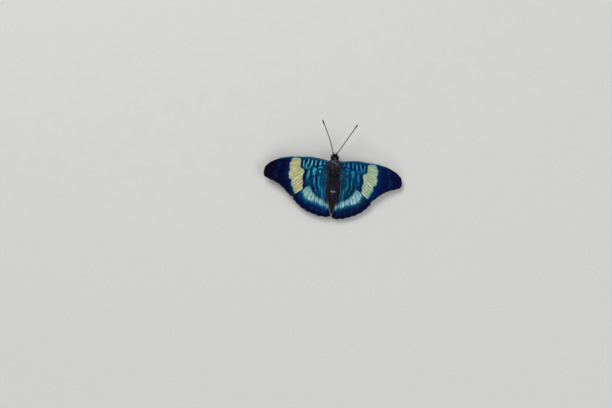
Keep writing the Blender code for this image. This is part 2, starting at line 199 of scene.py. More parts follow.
class Finish:
    # A material and the calls that add nodes to it. A word given as a colour is one of its tones.
    def __init__(self, name, gloss, tones, **shared):
        self.material = bpy.data.materials.new(name)
        self.material.use_nodes = True
        self.tree = self.material.node_tree
        self.shader = self.tree.nodes["Principled BSDF"]
        self.tones = {word: tint(*screen) for word, screen in tones.items()}
        for socket, value in {"Specular IOR Level": gloss, **shared}.items():
            self.shader.inputs[socket.replace("_", " ")].default_value = value

    def node(self, kind, settings=None, sockets=None, out=0):
        made = self.tree.nodes.new("ShaderNode" + kind)
        for key, value in (settings or {}).items():
            setattr(made, key, value)
        for key, value in (sockets or {}).items():
            if isinstance(value, Link):
                self.tree.links.new(value.socket, made.inputs[key])
            else:
                made.inputs[key].default_value = self.tones.get(value, value)
        return Link(self, made.outputs[out])

    def parts(self, vector):
        split = self.node("SeparateXYZ", None, {0: vector})
        return [Link(self, socket) for socket in split.socket.node.outputs]

    def attribute(self, name):
        # The three numbers kept at each point of the mesh under this name
        return self.parts(self.node("Attribute", {"attribute_name": name}, None, 1))

    def vector(self, x, y, z=0.0):
        return self.node("CombineXYZ", None, {0: x, 1: y, 2: z})

    def noise(self, place, detail=2.0, roughness=0.5):
        sockets = {0: self.vector(*place), "Scale": 1.0, "Detail": detail, "Roughness": roughness}
        return self.node("TexNoise", {"noise_dimensions": "3D"}, sockets)

    def speckle(self, size):
        # Fine grain on the object's own place in metres
        x, y, z = self.parts(self.node("TexCoord", None, None, 3))
        return self.noise((x * size, y * size, z * size), 3.0)

    def cells(self, place, out, scatter):
        return self.node("TexVoronoi", {"voronoi_dimensions": "3D"},
                         {0: self.vector(*place), "Scale": 1.0, "Randomness": scatter}, out)

    def ramp(self, low, high, value):
        return self.node("MapRange", {"interpolation_type": "SMOOTHSTEP"}, {0: value, 1: low, 2: high})

    def mix(self, factor, first, second):
        return self.node("Mix", {"data_type": "RGBA"}, {0: factor, 6: first, 7: second}, 2)

    def layers(self, colour, *coats):
        # Colours laid over the first one in turn, each through its mask
        for mask, shade in coats:
            colour = self.mix(mask, colour, shade)
        return colour

    def brighten(self, colour, amount):
        return self.node("HueSaturation", None, {0: 0.5, 1: 1.0, 2: amount, 3: 1.0, 4: colour})

    def wear(self, colour, rough=None, height=None, depth=0.0):
        # What changes over the surface. Depth is in metres between heights 0 and 1.
        plugs = {"Base Color": colour, "Roughness": rough}
        if height is not None:
            plugs["Normal"] = self.node("Bump", None, {"Strength": 1.0, "Distance": depth, "Height": height})
        for socket, value in plugs.items():
            if value is not None:
                self.tree.links.new(value.socket, self.shader.inputs[socket])
        return self


studio = {
    "lens": 100.0, "sensor": 36.0, "nearest": 0.01, "camera": (-13.6, -19.7, 896.3), "turn": 3.5,
    "floor": (226, 226, 222), "floorDark": 0.97, "floorGrain": 120, "floorSize": 6, "floorZ": -0.00002,
    "sky": (236, 240, 245), "skyStrength": 0.34,
    # Place and width in millimetres, and power
    "lamps": {"key": ((-420, 620, 900), 700, 7.0), "fill": ((700, -200, 800), 800, 2.6),
              "back": ((-100, -900, 500), 600, 1.5)},
}


def buildStudio():
    bpy.context.scene.view_settings.view_transform = "Standard"
    place = bodyMiddle + np.array(studio["camera"]) * mm
    bpy.ops.object.camera_add(location=place.tolist(), rotation=(0, 0, math.radians(studio["turn"])))
    camera = bpy.context.object
    camera.data.lens = studio["lens"]
    camera.data.sensor_width = studio["sensor"]
    camera.data.clip_start = studio["nearest"]
    bpy.context.scene.camera = camera
    bpy.ops.mesh.primitive_plane_add(size=studio["floorSize"], location=(0, 0, studio["floorZ"]))
    floor = bpy.context.object
    floor.name = "floor"
    paper = Finish("pale floor", 0.5, {"pale": studio["floor"]}, Roughness=0.8)
    dark = tuple(v * studio["floorDark"] for v in paper.tones["pale"][:3]) + (1,)
    paper.wear(paper.mix(paper.speckle(studio["floorGrain"]), "pale", dark))
    floor.data.materials.append(paper.material)
    world = bpy.data.worlds.new("studio sky")
    world.use_nodes = True
    sky = world.node_tree.nodes["Background"]
    sky.inputs[0].default_value = tint(*studio["sky"])
    sky.inputs[1].default_value = studio["skyStrength"]
    bpy.context.scene.world = world
    for name, (spot, size, power) in studio["lamps"].items():
        at = np.array(spot) * mm
        bpy.ops.object.light_add(type="AREA", location=at.tolist())
        lamp = bpy.context.object
        lamp.name = "lamp " + name
        lamp.data.shape = "DISK"
        lamp.data.size = size * mm
        lamp.data.energy = power
        lamp.rotation_euler = (-Vector(at)).to_track_quat("-Z", "Y").to_euler()
    report("camera, floor and lamps are set")


choose()
buildStudio()

# How each wing is held: degrees swept back and its stretch across and along, seen from above, then
# the droop of its front and its back
wingPose = {
    "hinge": (3.0, 0.0), "reach": 34.0, "arch": 0.5, "height": {"fore": 6.92, "hind": 6.02},
    "fore left": (0.0, 1, 1), "fore right": (4.0, 0.99, 0.96),
    "hind left": (0.0, 1, 1), "hind right": (1.0, 0.99, 1.03),
    "droop": {"left": (3.5, 7.0), "right": (7.5, 8.0)},
}
# The mesh and relief of a wing. The pairs for its veins go from its root to its tip, and a taper is
# the width over which something thins or calms down, and the least that is left of it.
membrane = {
    "step": 0.18, "curve": 0.15, "clearOfRim": 0.12, "clearOfVein": 0.3, "besideVein": 0.17, "apart": 0.1,
    "half": 0.07, "rimTaper": (0.2, 0.35), "veinWidth": (0.2, 0.12), "veinHeight": (0.13, 0.05),
    "underVein": 0.8, "beyondVeins": (0.15, 0.3), "cellTaper": (2, 0), "narrowest": 0.15,
    "streakTaper": (0.45, 0), "bare": 3, "pleat": 0.16, "pleatTaper": (12, 0), "calmHind": (3, 0.3),
    "ripple": 0.1, "rippleWidth": 5, "frontHeight": (0.16, 0.06), "frontWidth": 0.35,
    "thinRim": (0.1, 0.3), "thinHind": (4, 0.35), "settle": 0.56, "settleWidth": 3.2,
    "settleTaper": (4, 0), "mapMargin": 0.5, "wallMargin": 0.25,
}
strokeShape = {"step": 0.12, "farthest": 4.0, "ends": 0.5, "swell": 0.6, "wobble": 0.2}
abdomenWidths = ((0, 1.5), (0.15, 2.15), (0.35, 2.36), (0.6, 2.15), (0.8, 1.4), (0.93, 0.75), (1, 0.28))
abdomen = {
    "start": -3.95, "length": 19.9, "flatness": 0.9, "drop": 2.0, "axis": 5.5, "segments": 8,
    # Half width and height of its first ring, and how far that ring is inside the thorax
    "waist": (2.2, 1.5), "inside": 0.9,
    # The rings of each segment, by share of its length, and how far each one swells
    "rings": ((0.03, -0.11), (0.2, -0.03), (0.5, 0.02), (0.85, 0.05), (0.96, 0.04)),
    # How much wider than its shell the abdomen is with its coat
    "coat": ((0, 1.25), (0.12, 0.72), (0.35, 0.5), (0.55, 0.38), (0.75, 0.2), (1, 0.05)),
}

cellFront = ((2.9, 1.8), (8, 3), (13, 3.6), (17.2, 3.1))
cellBack = ((2.9, 0.6), (8, 0.6), (13, -0.3), (16.2, -1.4))
foreWing = {
    "pole": (2.5, 1), "comb": 7, "eyeReach": 0.9, "eyeSize": 0.42, "innerEdge": (),
    "outline": (
        (1.4, 2.6), (3.5, 3.7), (7.7, 4.6), (13, 5.2), (19.3, 5.3), (24.5, 4.5), (28.7, 3.5),
        (33.2, 1.4), (35.8, -1.1), (36.5, -3), (36.6, -4.8), (36.1, -6.3), (33.4, -7.6), (29.8, -9.1),
        (26.6, -11.2), (23.9, -13.9), (21.8, -15.8), (19.7, -14.7), (15.2, -11.6), (10.2, -8.3),
        (6, -5.3), (2.4, -2.6)),
    "root": ((2, -1.6), (2.1, -0.2), (2, 1.2)),
    # Every vein from the root out, front to back, by the stems that it shares
    "veins": (
        ((2.9, 2.4), (9, 4), (15, 4.6), (21, 5.2)),
        cellFront[:3] + ((13.6, 3.6), (19.5, 4.3), (24.5, 4.5)),
        cellFront[:3] + ((17, 3.2), (22.5, 3.5), (28.7, 3.5)),
        cellFront + ((24.5, 2), (29, 2.1), (33.2, 1.4)),
        cellFront + ((24.7, 1.95), (28.5, 0.8), (32.5, 0.2), (35.8, -1.1)),
        cellFront + ((25, 1.9), (31.5, -0.8), (36.6, -4.8)),
        cellFront + ((17.3, 1.7), (24.5, 0), (31, -3), (36.1, -6.3)),
        cellBack + ((17, 0.1), (23.5, -2.3), (28.5, -4.8), (33.4, -7.6)),
        cellBack + ((21.5, -4.3), (26, -6.8), (29.8, -9.1)),
        cellBack[:3] + ((13.8, -0.6), (18.5, -4.6), (22.5, -7.9), (26.6, -11.2)),
        cellBack[:2] + ((9, 0.5), (14.5, -4.8), (19.5, -9.8), (23.9, -13.9)),
        ((2.9, -0.6), (9, -4.4), (15.5, -9.9), (21.8, -15.8))),
    "crossVeins": (((17.2, 3.1), (17.3, 1.7), (17, 0.1), (16.2, -1.4)),),
    "outerMargin": (7, 17), "hindMargin": (16, 22),
    # Cream band, round its edge from the front inner corner, and its middle line as (y, x)
    "band": (
        (17.6, 3.7), (19.4, 4.25), (21.6, 4.05), (22.4, 2.9), (23.1, 1.6), (23.4, 0.3), (23.15, -1.4),
        (23.3, -3), (23.6, -4.6), (23.4, -6.1), (22.7, -7), (22.1, -7.7), (21.9, -8.8), (21.8, -10.2),
        (21.3, -11.6), (20.7, -12.6), (20.3, -13.8), (20, -15.4), (18.5, -14.8), (17, -13.4),
        (16, -12.1), (15.8, -11.2), (16.1, -10.2), (15.85, -9), (15.9, -7.9), (16.35, -6.5),
        (16.2, -5), (15.8, -3.8), (15.55, -2.6), (15.95, -1.5), (16.9, -1.2), (17.65, -0.8),
        (17.75, 0.3), (17.5, 1.6), (17.5, 2.8)),
    "bandMiddle": ((-16, 19), (-11, 18.7), (-7, 19.2), (-3, 19.5), (1, 20.3), (6, 19.6)),
    # Strokes of scales: half width, then the X and Y of each point that it follows
    "dark": (
        (0.6, 14.9, -1.5, 15.1, -3.4, 15.3, -5.4, 15.4, -8, 15.2, -9.8, 15.4, -11.8),
        (0.5, 16.9, 3.4, 17, 1.6, 17.1, -0.5), (0.32, 14.7, 3.4, 15, 2.4, 15.2, 1.3),
        (0.32, 12.4, 3.7, 12.85, 2, 13.5, 0.3), (0.33, 10.5, 3.3, 10.75, 2, 11, 0.8),
        (0.32, 8.4, 3.2, 8.9, 0.9), (0.25, 6.2, 2.7, 6, 0.9), (0.26, 4.6, 3.2, 4.1, 2.2),
        (0.26, 12.2, -0.3, 11.4, -0.4), (0.3, 9.6, 0, 8.7, -0.9, 8.3, -2),
        (0.5, 14.5, -2, 14.6, -3.7), (0.34, 11.8, -1.3, 11.9, -3.2, 12.1, -5.2, 12, -6.8),
        (0.36, 9.1, -4.4, 9, -6.4, 8.95, -8.2, 8.7, -11), (0.33, 11, -6.4, 11.1, -8.4, 11.2, -10.4),
        (0.27, 5.6, -6.7, 5.4, -8.6), (0.24, 4.8, -4.1, 4.3, -6.4), (0.24, 6.6, -7.4, 6.7, -9),
        (0.3, 13.9, -8.4, 13.9, -9.5)),
    "light": (
        (0.36, 15.85, 3.3, 16.1, 1.4, 15.9, -0.7), (0.42, 13.3, 3.9, 13.9, 1.9, 14.65, 0.2, 14.3, -0.9),
        (0.46, 11.5, 3.7, 11.75, 2, 12.2, 0.5, 12.9, -0.6), (0.36, 9.55, 3.4, 9.85, 0.9),
        (0.5, 7.1, 3.2, 7.3, 2, 7.6, 0.9), (0.3, 5.6, 2.1, 4.9, 1.8),
        (0.26, 16.6, -0.75, 14.6, -0.95, 12.7, -0.6), (0.55, 10.7, -0.5, 10.2, -1.2, 9.7, -2.3),
        (0.34, 11.1, -1.3, 10.7, -2.6, 10.9, -4.2), (0.34, 10, -2.9, 10.1, -4.4),
        (0.32, 9.7, -0.5, 9.2, -1.3), (0.55, 12.9, -1.9, 13.3, -4, 13.8, -6.1),
        (0.4, 8.3, -0.4, 6.3, 0.1), (0.32, 10.1, -5.3, 10, -9.6), (0.38, 7.7, -4.9, 7.7, -7.2, 7.8, -9.8),
        (0.28, 7, -1.6, 7.3, -3.2), (0.22, 7.9, -1.5, 7.7, -2.6), (0.3, 4.5, 3.4, 5.1, 2.9)),
    "blue": (
        (0.84, 29.1, 1.4, 28.9, -0.5), (0.84, 30.2, -2.9, 30.6, -5, 30.2, -7.1),
        (0.63, 22.6, -9.8, 22.1, -13.4)),
}
hindFront = ((2.9, -2.2), (6.2, -4.6), (9.6, -7.8))
hindBack = ((2.9, -3.1), (5, -6.4), (7.2, -9.7), (8.9, -11.1))
hindWing = {
    "pole": (2, -1), "comb": 6, "eyeReach": 0.86, "eyeSize": 0.7,
    "outline": (
        (2.2, -1), (6, -1.2), (10.5, -3.8), (15.5, -7.8), (19.2, -11.6), (21.1, -15.4),
        (20.6, -16.38), (20.4, -17.4), (19.41, -18.32), (18.6, -19.4), (17.25, -20.38), (16, -21.6),
        (14.4, -22.34), (12.9, -23.3), (11.3, -23.77), (9.8, -24.5), (8.15, -24.87), (6.6, -25.5),
        (4.98, -25.5), (3.4, -25.8), (1.4, -25.5), (0.5, -24.75)),
    "innerEdge": (0.94, 0.84, 0.72, 0.58, 0.44, 0.3, 0.16, 0.05), "root": ((1.8, -3.8), (2.1, -2.2)),
    "outerMargin": (5, 22), "hindMargin": (20, 22),
    "veins": (
        ((2.9, -1.7), (9, -4.7), (16, -9.9), (21.1, -15.4)),
        hindFront[:2] + ((8.2, -6.5), (15, -12), (20.4, -17.4)),
        hindFront + ((14.5, -13.4), (18.6, -19.4)),
        hindBack[:3] + ((9.9, -9.5), (13.2, -15.5), (16, -21.6)),
        hindBack + ((11.3, -17), (12.9, -23.3)),
        hindBack[:3] + ((7.9, -10.3), (9.3, -17.5), (9.8, -24.5)),
        hindBack[:2] + ((5.9, -7.8), (6.9, -17), (6.6, -25.5)),
        ((2.9, -3.5), (4.4, -9.5), (4.7, -17), (3.4, -25.8))),
    "crossVeins": (((9.6, -7.8), (9.9, -9.5), (8.9, -11.1)),),
    # Whitish band, by degrees round the pole and millimetres out from it
    "bandIn": ((-36, 13.6), (-42.3, 13.9), (-55.8, 14.9), (-66, 15.5), (-74, 15.9), (-80, 16.3), (-86, 17.2)),
    "bandOut": ((-33, 16.2), (-37.3, 17.4), (-42.4, 18.8), (-51, 20), (-57.2, 19.8), (-66, 19.1),
                (-74.3, 19), (-80.7, 19.5), (-88.6, 19.9)),
    "dark": (
        (0.47, 11.3, -9.4, 10.7, -11.1, 10.2, -12.7, 8.8, -14.4, 7.1, -15.9),
        (0.26, 10.2, -10.6, 9.8, -11.7), (0.37, 8.6, -10, 8, -11.5, 8.4, -13.1),
        (0.26, 7.5, -13.6, 6.8, -14.8), (0.36, 9, -7.2, 8.95, -9, 8.6, -11),
        (0.33, 11.1, -8.7, 11.2, -10.6), (0.24, 6.6, -7.4, 6.8, -9.2), (0.22, 4.9, -5.6, 4.4, -7),
        (0.24, 5.5, -6.9, 5.4, -8.8)),
    "light": (
        (0.38, 7.7, -6.2, 7.75, -8.6, 7.7, -10.4), (0.32, 10, -7.9, 10, -9.7),
        (0.33, 9, -11.9, 8.8, -12.6), (0.24, 9.6, -10, 9.2, -11.1), (0.34, 7.1, -9.4, 6.9, -11.6),
        (0.3, 5.9, -10.6, 5.75, -13, 5.7, -15.4)),
    "blue": (
        (0.79, 17.3, -14.2, 16.7, -16.8), (0.63, 7.4, -22, 7.5, -22.5), (0.63, 4.3, -22.3, 4.2, -23.1),
        (0.63, 11.2, -20.9, 10.6, -21.9), (0.58, 14.5, -18.5, 13.9, -19.2)),
}
wingPlans = {"fore": foreWing, "hind": hindWing}

# Screen colours of the scales on the left and the right, as the two wings face the light differently
wingTones = {"fore": {
    "ground": ((2, 48, 84), (1, 46, 84)), "groundLight": ((6, 84, 118), (2, 80, 126)),
    "stroke": ((6, 16, 48), (4, 18, 54)), "violet": ((22, 18, 62), (20, 20, 66)),
    "bar": ((20, 134, 162), (4, 104, 150)), "barLight": ((150, 222, 216), (78, 180, 202)),
    "band": ((218, 213, 158), (196, 210, 170)), "bandShade": ((150, 152, 108), (126, 154, 134)),
    "bandEdge": ((112, 158, 146), (74, 146, 154)), "glow": ((2, 34, 82), (2, 44, 96)),
    "outer": ((4, 8, 50), (3, 20, 68)), "outerDark": ((11, 5, 27), (10, 12, 54)),
    "patch": ((3, 30, 74), (2, 42, 86)), "slate": ((20, 54, 74), (24, 52, 72)),
    "slateLight": ((66, 106, 120), (68, 102, 126)), "costa": ((40, 90, 116), (14, 82, 122)),
    # The whitish tone of the front edge is a painted highlight
    "costaHighlight": ((184, 220, 212), (180, 218, 214)),
}, "hind": {
    "ground": ((2, 58, 98), (2, 50, 76)), "groundLight": ((5, 90, 132), (5, 80, 106)),
    "stroke": ((4, 20, 54), (3, 22, 46)), "violet": ((14, 22, 60), (12, 20, 52)),
    "bar": ((14, 116, 156), (12, 102, 132)), "barLight": ((56, 160, 182), (54, 152, 170)),
    "band": ((118, 172, 172), (118, 178, 188)), "bandLight": ((204, 222, 202), (208, 230, 222)),
    "bandShade": ((32, 112, 144), (28, 104, 130)), "glow": ((8, 84, 132), (4, 76, 108)),
    "outer": ((3, 20, 64), (10, 22, 56)), "outerDark": ((4, 8, 40), (5, 8, 40)),
    "patch": ((10, 52, 100), (8, 44, 84)), "slate": ((17, 56, 80), (17, 49, 72)),
    "slateLight": ((54, 100, 126), (50, 88, 112)), "pale": ((112, 132, 136), (116, 134, 140)),
}}


def abdomenShare(y):
    return np.clip((abdomen["start"] - y) / abdomen["length"], 0, 1)


def abdomenSide(y):
    return valueAt(abdomenWidths, abdomenShare(y))


def onWing(layer, side, plan, lift):
    # From the plan of one side to its place in the pose
    sweep, wide, long = wingPose[f"{layer} {side}"]
    turn = -math.radians(sweep)
    x, y = (plan - np.array(wingPose["hinge"])).T
    flatX = (x * math.cos(turn) - y * math.sin(turn)) * wide
    flatY = (x * math.sin(turn) + y * math.cos(turn)) * long
    reach = np.hypot(flatX, flatY)
    back = np.clip(np.arctan2(-flatY, flatX) / (math.pi / 2), 0, 1)
    droop = np.radians(between(wingPose["droop"][side], back))
    z = wingPose["height"][layer] - reach * np.sin(droop)
    z += wingPose["arch"] * np.sin(math.pi * np.minimum(reach / wingPose["reach"], 1)) + lift
    return np.column_stack(((wingPose["hinge"][0] + flatX) * sides[side], flatY, z))


def strokeField(points, strokes):
    # How many half widths each point is from the nearest stroke. A stroke thins out to its ends.
    best = np.full(len(points), strokeShape["farthest"])
    for order, (half, *path) in enumerate(strokes):
        line = smoothCurve(np.reshape(path, (-1, 2)), strokeShape["step"])
        share = np.linspace(0, 1, len(line))
        width = half * (strokeShape["ends"] + strokeShape["swell"] * np.sin(math.pi * share) ** 0.7)
        width *= 1 + strokeShape["wobble"] * np.sin(share * 9 + order * 2.1)
        reach = (strokeShape["farthest"] + 0.5) * half
        near = (np.abs(points - line.mean(0)) < np.ptp(line, axis=0) / 2 + reach).all(1)
        away = np.hypot(points[near, None, 0] - line[:, 0], points[near, None, 1] - line[:, 1])
        best[near] = np.minimum(best[near], (away / width).min(1))
    return best


def wingOutline(plan):
    loop = smoothCurve(plan["outline"], membrane["curve"])
    inner = [(valueAt(abdomenWidths, share) + 0.02, abdomen["start"] - abdomen["length"] * share)
             for share in plan["innerEdge"]]
    rest = smoothCurve([loop[-1], *inner, *plan["root"], loop[0]], membrane["curve"])
    return np.vstack((loop, rest[1:-1]))


def wingNet(layer):
    # Points and triangles of one wing seen from above, with its outline and veins
    plan = wingPlans[layer]
    outline = wingOutline(plan)
    veins = [smoothCurve(path, membrane["curve"]) for path in plan["veins"] + plan["crossVeins"]]

    def within(points, clear):
        points = points[insideLoop(points, outline)]
        return points[fromLoop(points, outline) > clear]

    low, high = outline.min(0), outline.max(0)
    step = membrane["step"]
    rows = np.arange(low[1], high[1], step * 0.866)
    columns = np.arange(low[0], high[0], step)
    fill = within(np.array([(x + (i % 2) * step / 2, y) for i, y in enumerate(rows) for x in columns]),
                  membrane["clearOfRim"])
    fill = fill[fromPaths(fill, veins) > membrane["clearOfVein"]]
    aside = membrane["besideVein"]
    lines = within(np.vstack([path + leftOf(path) * way for path in veins for way in (0, -aside, aside)]),
                   membrane["apart"])
    _, first = np.unique(np.round(lines / membrane["apart"]).astype(int), axis=0, return_index=True)
    points = np.vstack((outline, lines[np.sort(first)], fill))
    count = len(outline)
    edges = [(i, (i + 1) % count) for i in range(count)]
    found, _, triangles, *_ = delaunay_2d_cdt(
        [Vector(p) for p in points], edges, [tuple(range(count))], 1, 1e-5, False)
    points = np.array([tuple(p) for p in found])
    triangles = np.array([t for t in triangles if len(t) == 3])
    triangles = triangles[insideLoop(points[triangles].mean(1), outline)]
    used, triangles = np.unique(triangles, return_inverse=True)
    points, triangles = points[used], triangles.reshape(-1, 3)
    a, b, c = np.moveaxis(points[triangles], 1, 0)
    turned = (b[:, 0] - a[:, 0]) * (c[:, 1] - a[:, 1]) < (b[:, 1] - a[:, 1]) * (c[:, 0] - a[:, 0])
    triangles = np.where(turned[:, None], triangles[:, ::-1], triangles)
    report(f"{layer}wing net: {len(points)} points, {len(triangles)} triangles a face")
    return points, triangles, outline, veins


def polar(points, pole):
    away = points - np.array(pole)
    return np.hypot(*away.T), np.arctan2(away[:, 1], away[:, 0])


def veinFan(points, plan):
    # Which cell a point is in, counted from the front, its share of the way across it, its distance
    # and angle from the pole, and the width of the cell there
    reach, angle = polar(points, plan["pole"])
    angles = []
    for path in plan["veins"]:
        out, turn = polar(smoothCurve(path, 0.3), plan["pole"])
        order = np.argsort(out)
        angles.append(np.interp(reach, out[order], turn[order]))
    before, after = membrane["beyondVeins"]
    angles = -np.sort(-np.vstack([angles[0] + before] + angles + [angles[-1] - after]), 0)
    cell = np.clip((angles[1:-1] > angle).sum(0), 0, len(angles) - 2)
    ahead, behind = (np.take_along_axis(angles, cell[None] + more, 0)[0] for more in (0, 1))
    across = np.clip((ahead - angle) / np.maximum(ahead - behind, 1e-4), 0, 1)
    return cell, across, reach, angle, reach * (ahead - behind)


def wingMarks(layer, points, outline, veins):
    # What the finishes and the relief of a wing read at each point
    plan = wingPlans[layer]
    cell, across, reach, angle, room = veinFan(points, plan)
    x, y = points.T
    if layer == "fore":
        loop = smoothCurve(plan["band"] + plan["band"][:1], 0.2)
        past = x - np.interp(y, *np.array(plan["bandMiddle"]).T)
        band = fromPath(points, loop) * np.where(insideLoop(points, loop), 1, -1)
        band += 0.5 * (np.sin(math.pi * across) ** 0.7 - 0.7) * np.clip(past, 0, 1)
        front = smoothCurve(plan["outline"][:8], 0.3)
        edge = np.interp(x, *front.T) - y
    else:
        start, end = (np.interp(np.degrees(angle), *np.array(sorted(plan[key])).T)
                      for key in ("bandIn", "bandOut"))
        end = end + 0.25 * (np.sin(math.pi * across) - 0.6)
        band = np.minimum(reach - start, end - reach)
        past = reach - (start + end) / 2
        edge = x - abdomenSide(y)
    # A small eye spot near the margin in each cell, for the underside
    ends = np.array([path[-1] for path in plan["veins"]], float)
    pole = np.array(plan["pole"])
    spots = pole + ((ends[1:] + ends[:-1]) / 2 - pole) * plan["eyeReach"]
    spot = np.min([np.hypot(*(points - middle).T) for middle in spots], 0)
    outer, hind = (fromPath(points, smoothCurve(plan["outline"][slice(*plan[key])], 0.2))
                   for key in ("outerMargin", "hindMargin"))
    marks = {
        "plan": (x, y, cell + across),
        "fan": (across, reach, angle),
        "marks": (band, strokeField(points, plan["dark"]), strokeField(points, plan["light"])),
        "edges": (fromPaths(points, veins), outer, strokeField(points, plan["blue"])),
        "zones": (past, edge, spot),
        # The share of relief and of streaks that is left where a cell narrows, and the way to the hind margin
        "room": (taper(room, membrane["cellTaper"]),
                 taper(room - membrane["narrowest"], membrane["streakTaper"]), hind),
    }
    return {key: np.column_stack(values) for key, values in marks.items()}


def singleScales(finish, reach, angle):
    # Rows of overlapping scales: a shade for each one, and its relief
    place = (reach * 8.0, angle * 260.0)
    return finish.node("SeparateColor", None, {0: finish.cells(place, 1, 0.75)}), finish.cells(place, 0, 0.75)


def scaly(finish, colour, fleck, relief, shade, rough, seed):
    # The colour with a slightly different shade on each scale, over a soft swell
    x, y, _ = finish.attribute("plan")
    swell = finish.noise((x * 3, y * 3, seed), 3.0)
    return finish.wear(finish.brighten(colour, shade[0] + fleck * shade[1]), rough[0] + fleck * rough[1],
                       relief * 0.5 + swell * 0.5, 0.00003)


def wingTop(layer, side):
    tones = {word: pair[side == "right"] for word, pair in wingTones[layer].items()}
    scales = Finish(f"{layer}wing upper scales {side}", 0.03, tones)
    ramp, mix, noise = scales.ramp, scales.mix, scales.noise
    x, y, lane = scales.attribute("plan")
    across, reach, angle = scales.attribute("fan")
    band, dark, light = scales.attribute("marks")
    vein, margin, blue = scales.attribute("edges")
    past, edge, _ = scales.attribute("zones")
    ragged = noise((x * 1.5, y * 1.5, 3.1), 4.0, 0.65) - 0.5
    cloud = noise((x * 0.35, y * 0.35, 1.0))
    fleck, relief = singleScales(scales, reach, angle)
    jitter = fleck - 0.5
    # Streaks across each cell, which fade where a cell narrows to nothing
    calm = scales.attribute("room")[1]
    teeth = (noise((reach * 0.3, lane * wingPlans[layer]["comb"], 2.0), 3.0, 0.6) - 0.5) * calm
    drawn = (noise((reach * 0.14, lane * 2.6, 6.0), 3.0, 0.6) - 0.5) * calm
    comb, streak = teeth + 0.5, drawn + 0.5
    # Slate at the root, in lines along the veins
    if layer == "fore":
        slate = ramp(7.6, 4.4, x + ragged * 2.4) * ramp(-0.2, -2.4, y + ragged * 2.0)
        slate = slate.math("MAXIMUM", slate, ramp(5.0, 3.3, x + ragged))
    else:
        slate = ramp(4.0, 2.2, edge + ragged * 1.6)
    lines = ramp(0.45, 0.58, streak * 0.75 + comb * 0.25)
    coats = [(slate * 0.92, mix(lines, "slate", "slateLight"))]
    # Light and dark strokes, feathered along the rows of scales and ragged by whole scales
    loose = ragged * 1.1 + teeth * 1.9 + jitter * 0.35
    core = ramp(0.9, 0.2, light + loose) * ramp(0.4, 0.58, comb)
    if layer == "fore":
        gap = ramp(17.6, 16.6, x) * ramp(5.2, 6.6, x) * ramp(-0.8, 0.1, y) * ramp(3.7, 3.2, y)
        coats.append((gap * 0.62, "stroke"))
        # The whitish streaks are the bars' own pattern; their growth toward the front edge is a painted
        # highlight
        core = core * (ramp(-0.5, 1.4, y) * 0.5 + 0.5)
    patch = (ramp(1.6, 0.3, blue + ragged * 1.2) * 0.8, "patch")
    coats += [
        (ramp(1.4, 0.75, light + loose * 0.9) * 0.96, mix(core, "bar", "barLight")),
        (ramp(1.35, 0.75, dark + loose) * 0.95,
         mix(ramp(0.47, 0.66, cloud + ragged * 0.4), "stroke", "violet"))]
    if layer == "fore":
        # Dark edge on the inner side of the band, and the dark outer wing with a blue glow next to it
        rim = ramp(-1.3, -0.4, band + loose * 0.5) * ramp(0.4, -0.4, past) * ramp(4.5, 3.8, y)
        night = scales.layers(
            mix(ramp(25.5, 34.0, x + ragged * 3.0), "outer", "outerDark"), patch,
            (ramp(-3.0, -0.1, band + ragged * 1.4 + teeth) * 0.85, "glow"))
        # Cream band, grooved between the veins and greener at its edge
        fade = ramp(1.8, 0.2, band + ragged) * ramp(-6.0, -10.5, y) * ramp(0.0, 1.0, past)
        grooves = ramp(0.13, 0.03, (across - 0.5).math("ABSOLUTE")) * ramp(0.36, 0.5, comb)
        cream = scales.layers(
            mix(ramp(0.44, 0.6, comb * 0.7 + streak * 0.3), "band", "bandShade"),
            (fade * 0.75, "bandEdge"), (grooves * 0.9, "bandShade"),
            (ramp(0.6, 0.0, band + ragged * 0.6) * 0.85, "bandEdge"))
        # Steel blue stripe along the front edge, with a painted whitish highlight on it where it passes the
        # band
        hairline = noise((x * 0.4, edge * 5.0, 4.0), 3.0) - 0.5
        # Where the painted highlight lies on the front edge
        paintedHighlight = ramp(12.5, 17.5, x) * ramp(23.5, 20.5, x) * ramp(0.58, 0.3, edge + ragged * 0.25)
        coats += [
            (rim * 0.9, "stroke"), (ramp(-0.4, 0.4, past), night),
            (ramp(-0.16, 0.16, band + ragged * 0.6 + teeth * 1.2 + jitter * 0.3), cream),
            (ramp(1.15, 0.35, edge + hairline * 1.1) * ramp(30.0, 23.0, x),
             mix(paintedHighlight, "costa", "costaHighlight")),
            (ramp(0.16, 0.07, edge) * 0.7, "stroke")]
    else:
        night = scales.layers(
            mix(ramp(2.8, 0.9, margin + ragged * 1.2), "outer", "outerDark"), patch,
            (ramp(0.5, 0.64, comb) * 0.4, "patch"), (ramp(-2.0, -0.1, band + teeth * 4.4), "glow"))
        # Whitish band, drawn out in streaks, and a pale inner edge
        long = teeth * 4.2 + drawn * 0.8 + ragged * 0.6
        ridge = comb * 0.8 + streak * 0.2
        pale = scales.layers(
            mix(ramp(-0.2, 1.4, band + long * 1.3), "bandShade", "band"),
            (ramp(0.49, 0.6, ridge) * ramp(0.1, 1.0, band), "bandLight"),
            (ramp(0.47, 0.4, ridge) * 0.8, "bandShade"))
        inner = ramp(0.75, 0.2, edge + ragged * 0.4) * ramp(-14.5, -18.5, y)
        coats += [(ramp(-0.2, 0.8, past), night), (ramp(-0.45, 0.4, band + long + jitter * 0.3), pale),
                  (inner * 0.85, "pale")]
    # The margin, and veins that show a little darker
    coats += [
        (ramp(0.55, 0.15, margin + ragged * 0.3), "outerDark"),
        (ramp(0.17, 0.05, vein) * ramp(0.25, -0.3, band) * 0.3, "stroke"),
        (ramp(0.34, 0.08, vein) * ramp(-0.1, 0.4, band) * 0.6, "bandShade")]
    ground = mix(ramp(0.4, 0.62, comb * 0.4 + streak * 0.3 + cloud * 0.3), "ground", "groundLight")
    return scaly(scales, scales.layers(ground, *coats), fleck, relief, (0.84, 0.32), (0.5, 0.16), 5.0)


